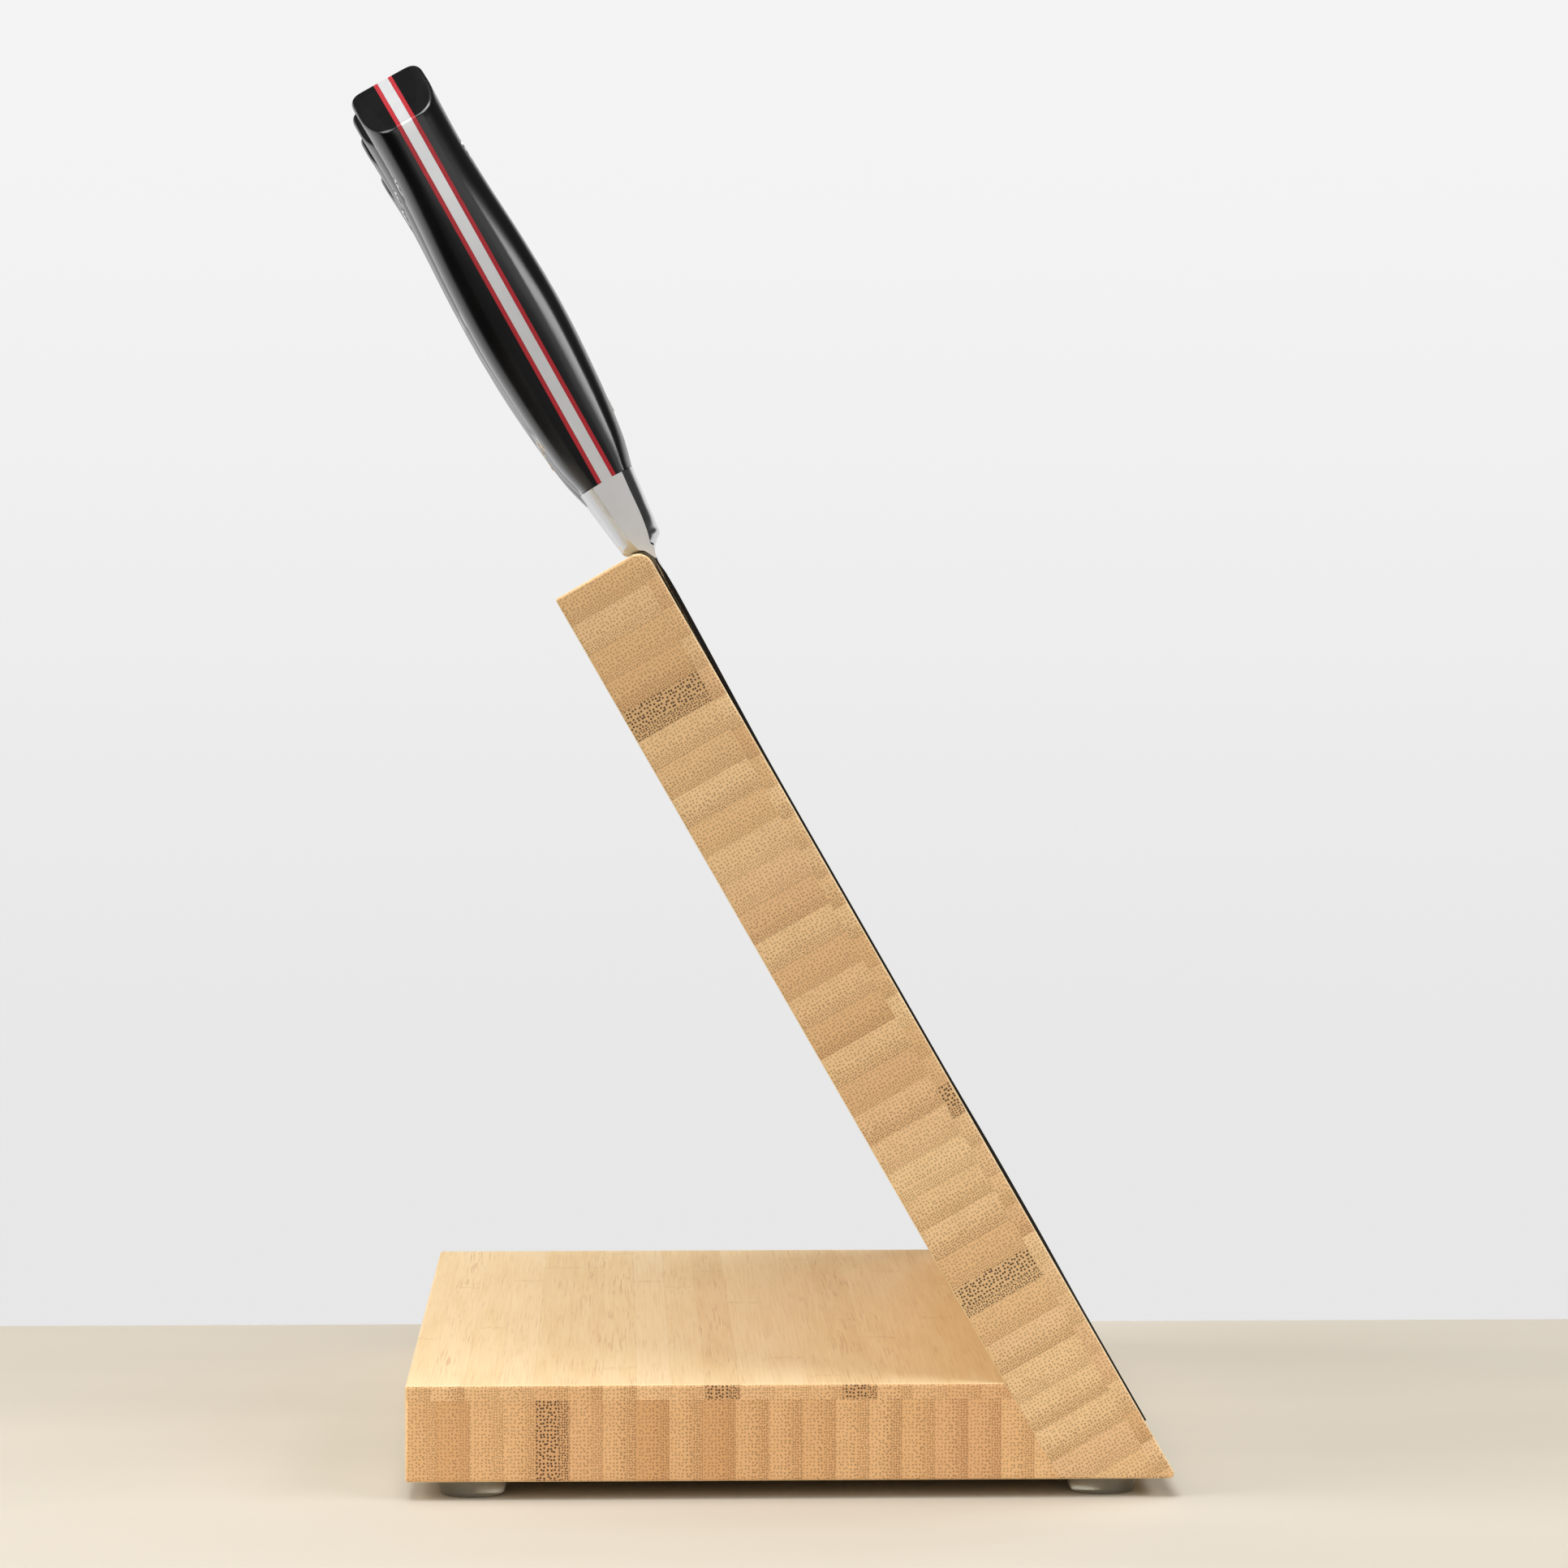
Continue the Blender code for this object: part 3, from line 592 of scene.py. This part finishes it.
def moved_in(corners, depth):
    """The corners once the sides with soft rims have moved inwards by a depth.

    A corner is (x, z, radius, whether the side after it has a soft rim).
    """
    count = len(corners)
    sides = []
    for i, (x, z, _, soft) in enumerate(corners):
        ahead = (Vector(corners[(i + 1) % count][:2]) - Vector((x, z))).normalized()
        inwards = Vector((-ahead.y, ahead.x)) * (depth if soft else 0)
        sides.append((Vector((x, z)) + inwards, ahead))
    moved = []
    for i, (_, _, radius, soft) in enumerate(corners):
        start, along = sides[i - 1]
        other, ahead = sides[i]
        turn = along.cross(ahead)
        if abs(turn) < STRAIGHT:  # the side goes on in line, and its rim changes here
            point = start + along * (other - start).dot(along)
        else:
            point = start + along * ((other - start).cross(ahead) / turn)
        moved.append((point.x, point.y, max(radius - depth, LEAST_CORNER) if radius else 0, soft))
    return moved


def filleted(corners):
    """The points of an outline whose corners are rounded."""
    points = []
    count = len(corners)
    for i, (x, z, radius, _) in enumerate(corners):
        here = Vector((x, z))
        if radius == 0:
            points.append(here)
            continue
        before = (Vector(corners[i - 1][:2]) - here).normalized()
        after = (Vector(corners[(i + 1) % count][:2]) - here).normalized()
        half = before.angle(after) / 2
        centre = here + (before + after).normalized() * radius / math.sin(half)
        start = here + before * radius / math.tan(half) - centre
        end = here + after * radius / math.tan(half) - centre
        sweep = start.angle_signed(end)
        for step in range(CORNER_STEPS + 1):
            points.append(centre + Matrix.Rotation(-sweep * step / CORNER_STEPS, 2) @ start)
    return points


def board(name, corners, matrix, end_material, face_material):
    """A board of the given outline across the block's width, its soft rims rounded."""
    rings = []
    for step in range(RIM_STEPS + 1):
        angle = math.pi / 2 * step / RIM_STEPS
        inset = RIM_RADIUS * (1 - math.sin(angle))
        back_off = RIM_RADIUS * (1 - math.cos(angle))
        points = filleted(moved_in(corners, inset))
        rings.append([Vector((p.x, FRONT_Y + back_off, p.y)) for p in points])
    rings += [[Vector((p.x, FRONT_Y + BACK_Y - p.y, p.z)) for p in ring] for ring in reversed(rings)]
    work = loft(rings, lambda r, i: 0)
    work.normal_update()
    for face in work.faces:
        face.material_index = 0 if abs(face.normal.y) > END_FACING else 1
    return new_piece(name, work, matrix, (end_material, face_material), BOARD_EDGE)


def make_base():
    """The base board: a core of upright strips under a thin top lamination."""
    slope = math.tan(LEAN)
    joint = TOE.x - UPRIGHT_THICKNESS / math.cos(LEAN) - TOUCH
    seam_z = BASE_TOP_Z - PLY_THICKNESS

    def joint_x(z):
        return joint - (z - UNDERSIDE_Z) * slope

    core_corners = (
        (BASE_END_X, seam_z, 0, True),
        (BASE_END_X, UNDERSIDE_Z, RIM_RADIUS, True),
        (joint_x(UNDERSIDE_Z), UNDERSIDE_Z, 0, False),
        (joint_x(seam_z), seam_z, 0, False),
    )
    ply_corners = (
        (BASE_END_X, BASE_TOP_Z, RIM_RADIUS, True),
        (BASE_END_X, seam_z, 0, False),
        (joint_x(seam_z), seam_z, 0, False),
        (joint_x(BASE_TOP_Z), BASE_TOP_Z, 0, True),
    )
    world = Matrix.Identity(4)
    core_strips = Strips("X", STRIP_PITCH, BASE_END_X + BASE_CORE_SHIFT, 11.0)
    ply_strips = Strips("X", PLY_STRIP_PITCH, BASE_END_X + BASE_PLY_SHIFT, 47.0)
    core_ends = end_grain("base_core_ends", core_strips, (4,), (1.13, 1.13, 1.14))
    ply_ends = end_grain("base_ply_ends", ply_strips, (9, 13), (1.17, 1.22, 1.28))
    core = board("base_core_wood", core_corners, world, core_ends, long_grain("base_core_faces", core_strips))
    ply = board("base_top_ply_wood", ply_corners, world, ply_ends, long_grain("base_ply_faces", ply_strips))
    subtract(core, [frame["nodes"][f"dowel_{level}"] for level in DOWELS], BOARD_EDGE)
    for piece in (core, ply):
        keep_flats_flat(piece)
    show(core, "block", "base_core")
    show(ply, "block", "base_top_ply")


def make_upright():
    """The leaning board: a core of strips across it, and the face lamination that hides the magnets."""
    seam = -PLY_THICKNESS
    inner = -UPRIGHT_THICKNESS
    slope = math.tan(LEAN)
    corner_up = (BASE_TOP_Z - UNDERSIDE_Z) / math.cos(LEAN) - inner * slope
    core_corners = (
        (seam, -seam * slope, 0, False),
        (seam, UPRIGHT_LENGTH, 0, True),
        (inner, UPRIGHT_LENGTH, RIM_RADIUS, True),
        (inner, corner_up, 0, False),
        (inner, corner_up - RIM_RADIUS, 0, False),
        (inner, -inner * slope, 0, True),
    )
    ply_corners = (
        (0.0, 0.0, TOE_EASING, True),
        (0.0, UPRIGHT_LENGTH, TOP_CORNER_RADIUS, True),
        (seam, UPRIGHT_LENGTH, 0, False),
        (seam, -seam * slope, 0, True),
    )
    core_strips = Strips("Z", STRIP_PITCH, UPRIGHT_SHIFT, 83.0)
    ply_strips = Strips("Z", PLY_STRIP_PITCH, UPRIGHT_PLY_SHIFT, 131.0)
    tint = (1.15, 1.27, 1.40)
    core_ends = end_grain("upright_core_ends", core_strips, (7, 27), tint, flip=True)
    ply_ends = end_grain("upright_ply_ends", ply_strips, (12,), tint, flip=True)
    core_faces = long_grain("upright_core_faces", core_strips)
    ply_faces = long_grain("upright_ply_faces", ply_strips)
    core = board("upright_core_wood", core_corners, BOARD_MATRIX, core_ends, core_faces)
    ply = board("upright_face_ply_wood", ply_corners, BOARD_MATRIX, ply_ends, ply_faces)
    magnets = [frame["nodes"][f"magnet_bar_{level}"] for level in MAGNETS]
    dowels = [frame["nodes"][f"dowel_{level}"] for level in DOWELS]
    subtract(core, dowels + magnets, BOARD_EDGE)
    subtract(ply, magnets, BOARD_EDGE)
    for piece in (core, ply):
        keep_flats_flat(piece)
    show(core, "block", "upright_core")
    show(ply, "block", "upright_face_ply")


def make_feet():
    """Clear tapered bumpers with a rounded lower edge."""
    material = clear_rubber()
    steps = 6
    for side in ("front", "back"):
        for end in ("left", "right"):
            node = f"foot_{side}_{end}"
            low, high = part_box(node)
            centre = Vector(((low.x + high.x) / 2, (low.y + high.y) / 2, 0))
            top = (high.x - low.x) / 2
            arc_centre = top - FOOT_TAPER - FOOT_ROUNDING
            profile = [(0.0, 0.0, UNDERSIDE_Z - TOUCH), (top, 0.0, UNDERSIDE_Z - TOUCH)]
            for step in range(steps + 1):
                angle = math.pi / 2 * step / steps
                reach = arc_centre + FOOT_ROUNDING * math.cos(angle)
                profile.append((reach, 0.0, FOOT_ROUNDING * (1 - math.sin(angle))))
            profile.append((0.0, 0.0, 0.0))
            work = turned(profile, (0, 0, 1), TURNED_SIDES)
            foot = new_piece(f"{node}_bumper", work, Matrix.Translation(centre), (material,), TURNED_EDGE)
            show(foot, "block", node)


# ---------------------------------------------------------------- knives


def lowest_over_board(up):
    """How close to the face's plane a piece may come at this distance up the board."""
    arc_start = UPRIGHT_LENGTH - TOP_CORNER_RADIUS
    if up <= arc_start:
        return REST_GAP
    reach = min((up - arc_start) / TOP_CORNER_RADIUS, 1.0)
    arc = TOP_CORNER_RADIUS * (math.sqrt(1 - reach**2) - 1)
    return arc + REST_GAP if up < UPRIGHT_LENGTH + REST_GAP else -UPRIGHT_THICKNESS


def knife_lift(knife):
    """The handle axis's height above the face at the bolster's shoulder."""
    return BOLSTER_CORNER_OFFSET + knife.rise * math.tan(math.radians(knife.cant))


def butt_shift(knife, along, level):
    """How far the sloping butt moves a handle's point along the axis, from 0 at the spine."""
    start = BUTT_SLOPE_START * knife.handle_scale
    end = HANDLE_LENGTH * knife.handle_scale
    return BUTT_SLOPE * knife.handle_scale * level * smooth_step(along, start, end)


def handle_size(knife, points, along):
    """A size from one of the handle's profiles, at a distance along this knife's handle."""
    return curve_through(points, along / knife.handle_scale) * knife.handle_scale


def handle_stations(knife, start, count, butt_count):
    """Distances along the handle and their insets, which round the butt."""
    end = HANDLE_LENGTH * knife.handle_scale
    body = [(start + (end - BUTT_ROUNDING - start) * i / (count - 1), 0.0) for i in range(count)]
    for step in range(1, butt_count + 1):
        angle = math.pi / 2 * step / butt_count
        along = end - BUTT_ROUNDING + BUTT_ROUNDING * math.sin(angle)
        body.append((along, BUTT_ROUNDING * (1 - math.cos(angle))))
    return body


def handle_ring(knife, along, inset, profile):
    """Points of a handle's section. profile gives (across, level) from the spine to the belly and back."""
    top = handle_size(knife, HANDLE_SPINE, along) + inset
    bottom = handle_size(knife, HANDLE_BELLY, along) - inset
    return [
        Vector((across, top + (bottom - top) * level, along + butt_shift(knife, along, level)))
        for across, level in profile
    ]


def rivet_middle(knife, place):
    """The middle of a rivet, halfway from spine to belly."""
    along = place * knife.handle_scale
    top = handle_size(knife, HANDLE_SPINE, along)
    bottom = handle_size(knife, HANDLE_BELLY, along)
    return Vector((0, (top + bottom) / 2, along + butt_shift(knife, along, 0.5)))


def blade_outline(knife, share):
    """The spine's and the edge's places below the spine's line, at a share of the blade's length."""
    drop = max(share - knife.spine_start, 0.0) / (1 - knife.spine_start)
    spine = knife.point_drop * drop**SPINE_DROP_POWER
    edge = knife.point_drop + (knife.blade_height - knife.point_drop) * (1 - share**knife.belly_power)
    return spine, max(edge, spine + POINT_HEIGHT)


SECTION = (0.0, 0.006, 0.025, 0.06, 0.11, 0.18, 0.3, 0.45, 0.6, 0.75, 0.86, 0.93, 0.965, 1.0)
ROUND_LEVEL = 0.3  # how deep the bolster's rounding reaches from its spine


def forged_section(knife, along):
    """One section of the bolster or blade, in the knife's frame."""
    up = UPRIGHT_LENGTH + knife.rise + along
    stand_off = TOP_GAP * (1 - smooth_step(UPRIGHT_LENGTH - up, 0, TOP_GAP_REACH))
    start, full, fading, end = LOW_GAP_REACH
    stand_off += LOW_GAP * smooth_step(-up, -start, -full) * smooth_step(up, end, fading)
    floor = lowest_over_board(up) + stand_off - knife_lift(knife)
    scaled = along / knife.handle_scale
    flat = smooth_step(-scaled, BLADE_SHAPE_START, BLADE_SHAPE_END)  # how much of a blade the section is
    share = max(-along - BOLSTER_LENGTH * knife.handle_scale, 0.0) / knife.blade_length
    spine, edge = blade_outline(knife, share)
    shoulder_belly = curve_through(HANDLE_BELLY, 0)
    neck = shoulder_belly + (NECK_BELLY - shoulder_belly) * smooth_step(-scaled, 0, HEEL_START)
    heel = smooth_step(-scaled, HEEL_START, HEEL_END)
    bottom = neck * knife.handle_scale * (1 - heel) + edge * heel
    spine_half = TIP_HALF + (knife.spine_half - TIP_HALF) * (1 - smooth_step(share, 0, POINT_TAPER_SHARE))
    half = handle_size(knife, BOLSTER_HALF_WIDTH, along) * (1 - flat) + spine_half * flat
    facet = handle_size(knife, BOLSTER_FACET_HALF, along)
    centre = along * math.tan(math.radians(knife.cant)) * (1 - flat) + (floor + spine_half) * flat
    outer_side = max(centre + half, floor + 2 * spine_half)
    inner_side = max(centre - half, floor)
    middle = (outer_side + inner_side) / 2
    half = (outer_side - inner_side) / 2
    facet = min(facet, half)
    points = []
    for level in SECTION:
        if level <= EDGE_BEVEL_LEVEL:
            wedge = half + (EDGE_BEVEL_HALF - half) * level / EDGE_BEVEL_LEVEL
        else:
            wedge = CUTTING_EDGE_HALF
        top_round, low_round = (
            facet + (half - facet) * (1 - (1 - min(depth / ROUND_LEVEL, 1.0)) ** 2)
            for depth in (level, 1 - level)
        )
        across = min(top_round, low_round) * (1 - flat) + wedge * top_round / half * flat
        points.append((across, spine + (bottom - spine) * level))
    return middle, points


def make_forging(knife, knife_matrix, materials):
    """Blade, bolster and full tang. Its materials are tang, bolster, blade and the spine's painted dark
    reflection.
    """
    cant = math.radians(knife.cant)
    neck_end = HEEL_END * knife.handle_scale
    blade_end = BOLSTER_LENGTH * knife.handle_scale + knife.blade_length
    rings, kinds = [], []
    count = len(SECTION)
    stations = []
    for i in range(BLADE_ROWS):
        share = 1 - (i / BLADE_ROWS) ** BLADE_ROW_CROWDING
        stations.append((-(neck_end + (blade_end - neck_end) * share), "blade"))
    for i in range(BOLSTER_ROWS + 1):
        stations.append((-neck_end * (1 - i / BOLSTER_ROWS), "bolster"))
    for along, kind in stations:
        middle, points = forged_section(knife, along)
        ring = [Vector((middle + across, y, along)) for across, y in points]
        ring += [Vector((middle - across, y, along)) for across, y in reversed(points)]
        rings.append(ring)
        kinds.append(kind)
    profile = [(TANG_HALF, level) for level in SECTION]
    profile += [(-TANG_HALF, level) for level in reversed(SECTION)]
    turn = Matrix.Rotation(cant, 3, "Y")
    for along, inset in handle_stations(knife, TANG_START, TANG_ROWS, TANG_BUTT_ROWS):
        rings.append([turn @ point for point in handle_ring(knife, along, inset, profile)])
        kinds.append("tang")
    slots = {"tang": 0, "bolster": 1, "blade": 2}
    last = 2 * count - 1

    def row_material(row, side):
        if side != last:
            return slots[kinds[row]]
        # slot 3 paints the blade's spine and the neck below the facet near-black: a painted dark reflection
        return 3 if kinds[row] == "blade" or rings[row][0].z < -FACET_END * knife.handle_scale else 0

    work = loft(rings, row_material)
    return new_piece(f"{knife.name}_forging", work, knife_matrix, materials, FORGED_EDGE)


def make_liner(knife, side, sign, matrix, material):
    """A liner: a flat sheet between tang and scale."""
    inner, outer = sign * (TANG_HALF + TOUCH), sign * (LINER_OUTER - TOUCH)
    profile = [(inner, 0.0), (inner, 0.5), (inner, 1.0), (outer, 1.0), (outer, 0.5), (outer, 0.0)]
    stations = handle_stations(knife, COVER_START, TANG_ROWS, TANG_BUTT_ROWS)
    rings = [handle_ring(knife, along, inset, profile) for along, inset in stations]
    return new_piece(f"{knife.name}_liner_{side}_red", loft(rings, lambda r, i: 0), matrix, (material,))


def make_scale(knife, side, sign, matrix, material):
    """A handle scale: flat against its liner, a full rounded back, and a softened butt."""
    rings = []
    for along, inset in handle_stations(knife, COVER_START, SCALE_ROWS, SCALE_BUTT_ROWS):
        half = handle_size(knife, HANDLE_HALF_WIDTH, along) - inset
        butt = smooth_step(along / knife.handle_scale, BUTT_SHAPE_START, HANDLE_LENGTH)
        widest = 0.5 + (BUTT_WIDEST - 0.5) * butt
        profile = []
        for i in range(SCALE_SIDES + 1):
            angle = math.pi * i / SCALE_SIDES
            to_belly = i > SCALE_SIDES / 2
            squareness = SQUARENESS + (BUTT_SQUARENESS[to_belly] - SQUARENESS) * butt
            bulge = abs(math.sin(angle)) ** (2 / squareness)
            turn = abs(math.cos(angle)) ** (2 / squareness)
            level = widest + (1 - widest) * turn if to_belly else widest * (1 - turn)
            profile.append((sign * (LINER_OUTER + (half - LINER_OUTER) * bulge), level))
        rings.append(handle_ring(knife, along, inset, profile))
    return new_piece(f"{knife.name}_scale_{side}_black", loft(rings, lambda r, i: 0), matrix, (material,))


def rivet_mesh(radius, half, dome):
    """A pin along X with slightly domed ends."""
    steps = 5
    profile = []
    for step in range(steps + 1):
        share = step / steps
        profile.append((half - dome * share**2, radius * share, 0.0))
    profile += [(-x, y, z) for x, y, z in reversed(profile)]
    return turned(profile, (1, 0, 0), RIVET_SIDES)


def make_rivets(knife, handle_matrix, material):
    """The rivets, and the cutters that drill their holes."""
    drills = []
    for number, place in enumerate(RIVET_PLACES, start=1):
        half = handle_size(knife, HANDLE_HALF_WIDTH, place * knife.handle_scale)
        matrix = handle_matrix @ Matrix.Translation(rivet_middle(knife, place))
        work = rivet_mesh(RIVET_RADIUS, half + RIVET_PROUD, RIVET_DOME)
        rivet = new_piece(f"{knife.name}_rivet_{number}_pin", work, matrix, (material,), TURNED_EDGE)
        show(rivet, knife.name, f"{knife.name}_rivet_{number}")
        work = rivet_mesh(RIVET_RADIUS + TOUCH, 2 * half, 0.0)
        drills.append(new_piece(f"drill_{number}", work, matrix, ()))
    return drills


def make_knife(knife, materials):
    """All the pieces of one knife, in place on the board."""
    place = (knife_lift(knife), knife.spine_y, UPRIGHT_LENGTH + knife.rise)
    knife_matrix = BOARD_MATRIX @ Matrix.Translation(place)
    handle_matrix = knife_matrix @ Matrix.Rotation(math.radians(knife.cant), 4, "Y")
    drills = make_rivets(knife, handle_matrix, materials["rivet"])
    forging = make_forging(
        knife, knife_matrix, [materials[kind] for kind in ("tang", "bolster", "blade", "spine")]
    )
    subtract(forging, drills, FORGED_EDGE)
    show(forging, knife.name, f"{knife.name}_blade")
    for side, sign in (("inner", -1), ("outer", 1)):
        liner = make_liner(knife, side, sign, handle_matrix, materials["liner"])
        subtract(liner, drills)
        show(liner, knife.name, f"{knife.name}_liner_{side}")
        scale = make_scale(knife, side, sign, handle_matrix, materials["scale"])
        subtract(scale, drills)
        show(scale, knife.name, f"{knife.name}_scale_{side}")
    for drill in drills:
        bpy.data.objects.remove(drill, do_unlink=True)


def make_knives():
    """The four knives, which share their materials."""
    materials = {
        "tang": steel("tang_steel", (0.78, 0.78, 0.785), 0.42, (0.12 * MM, 0.12 * MM, 9 * MM), metallic=0.6),
        "bolster": steel("bolster_steel", (0.68, 0.68, 0.685), 0.16, (0.3 * MM, 0.3 * MM, 3 * MM), 0.03, 0.1),
        "blade": steel(
            "blade_steel", (0.66, 0.665, 0.675), 0.3, (0.2 * MM, 6 * MM, 0.12 * MM), 0.05, 0.08, metallic=0.85
        ),
        # near-black spine steel: a painted dark reflection of the room before the knives, not the steel's own
        # colour
        "spine": steel("painted_dark_spine_steel", (0.03, 0.029, 0.029), 0.3, (0.2 * MM, 0.2 * MM, 6 * MM), 0.05, 0.03),
        "rivet": steel("rivet_steel", (0.66, 0.66, 0.665), 0.24, (0.4 * MM, 0.15 * MM, 0.15 * MM)),
        "liner": red_liner(),
        "scale": black_scale(),
    }
    for knife in KNIVES:
        make_knife(knife, materials)


def dress_hidden_nodes():
    """The dowels and magnets stay as the CAD model has them, with their own materials."""
    for kind, places, material in (("dowel", DOWELS, beech()), ("magnet_bar", MAGNETS, magnet_steel())):
        for place in places:
            mesh = frame["nodes"][f"{kind}_{place}"].data
            mesh.materials.clear()
            mesh.materials.append(material)


# ---------------------------------------------------------------- floor, light, camera


FLOOR_X = (-0.36, 0.6)  # the left and right edges
FLOOR_Y = (-0.55, 0.151)  # the front and back edges
LIT_POINT = (-0.02, -0.05, 0.15)  # the middle of the object, where every soft box points
SOFT_BOXES = (  # name, place, width and height, watts
    ("key", (0.97, -0.58, 0.84), (1.05, 0.3), 9.0),
    ("left", (-1.2, -0.2, 0.95), (1.0, 1.0), 14.0),
    ("top", (-0.15, 0.0, 1.4), (1.0, 0.8), 15.5),
)
CAMERA_DISTANCE = 1.089  # from the block's front side
CAMERA_HEIGHT = 191.1 * MM
CAMERA_FROM_BASE_END = 44.2 * MM
CAMERA_PITCH = 2.208  # degrees below the level
CAMERA_YAW = 1.82  # degrees to the right of straight ahead
FOCAL_LENGTH = 120.8  # millimetres, on a sensor 36 mm wide


def make_floor():
    """A plain pale table top, whose far edge meets the bright background."""
    nodes = Material("pale_floor")
    cloud = nodes.noise(nodes.stretched((0.25, 0.08, 0.25)), detail=2.0)
    colour = nodes.mix(nodes.rise(cloud, 0.3, 0.7), (0.61, 0.555, 0.465), (0.575, 0.525, 0.44))
    nodes.set(Base_Color=colour, Roughness=0.7)
    work = bmesh.new()
    left, right = FLOOR_X
    near, far = FLOOR_Y
    corners = ((left, near), (right, near), (right, far), (left, far))
    work.faces.new([work.verts.new((x, y, 0)) for x, y in corners])
    new_piece("floor", work, Matrix.Identity(4), (nodes.material,))


def add_soft_box(name, place, size, power):
    """A rectangular area light that points at the object."""
    data = bpy.data.lights.new(name, "AREA")
    data.shape = "RECTANGLE"
    data.size, data.size_y = size
    data.energy = power
    light = bpy.data.objects.new(name, data)
    bpy.context.scene.collection.objects.link(light)
    light.location = place
    light.rotation_mode = "QUATERNION"
    light.rotation_quaternion = (Vector(LIT_POINT) - Vector(place)).to_track_quat("-Z", "Y")


def make_room():
    """A dim room with a low bright backdrop behind the block and a bright wall before it.

    The camera itself sees an even pale background instead.
    """
    world = bpy.data.worlds.new("room")
    bpy.context.scene.world = world
    nodes = Nodes(world)
    direction = nodes.add("ShaderNodeTexCoord").outputs["Generated"]
    _, y, z = nodes.add("ShaderNodeSeparateXYZ", {0: direction}).outputs
    behind, below = nodes.rise(y, 0.3, 0.5, 0.0, 0.85), nodes.rise(z, 0.2, 0.3, 1.0, 0.0)
    before, above = nodes.rise(y, -0.85, -0.6, 1.2, 0.04), nodes.rise(z, 0.06, 0.24, 0.12, 1.0)
    light = nodes.math("ADD", nodes.math("MULTIPLY", behind, below), nodes.math("MULTIPLY", before, above))
    seen_directly = nodes.add("ShaderNodeLightPath").outputs["Is Camera Ray"]
    view = nodes.rise(z, -0.12, 0.1, 0.80, 0.90)
    strength = nodes.add("ShaderNodeMix", {0: seen_directly, 2: light, 3: view}).outputs[0]
    background = nodes.tree.nodes["Background"]
    nodes.feed(background.inputs["Strength"], strength)
    nodes.feed(background.inputs["Color"], (1.0, 1.0, 1.0, 1.0))


def make_camera():
    """A long lens, level with the upright's upper half, and nearly square to the block's front side."""
    data = bpy.data.cameras.new("camera")
    data.sensor_width = 36
    data.lens = FOCAL_LENGTH
    camera = bpy.data.objects.new("camera", data)
    bpy.context.scene.collection.objects.link(camera)
    camera.location = (BASE_END_X + CAMERA_FROM_BASE_END, FRONT_Y - CAMERA_DISTANCE, CAMERA_HEIGHT)
    camera.rotation_euler = (math.radians(90 - CAMERA_PITCH), 0, math.radians(-CAMERA_YAW))
    bpy.context.scene.camera = camera


make_base()
make_upright()
make_feet()
make_knives()
dress_hidden_nodes()
make_floor()
for soft_box in SOFT_BOXES:
    add_soft_box(*soft_box)
make_room()
make_camera()
bpy.context.scene.view_settings.view_transform = "Standard"
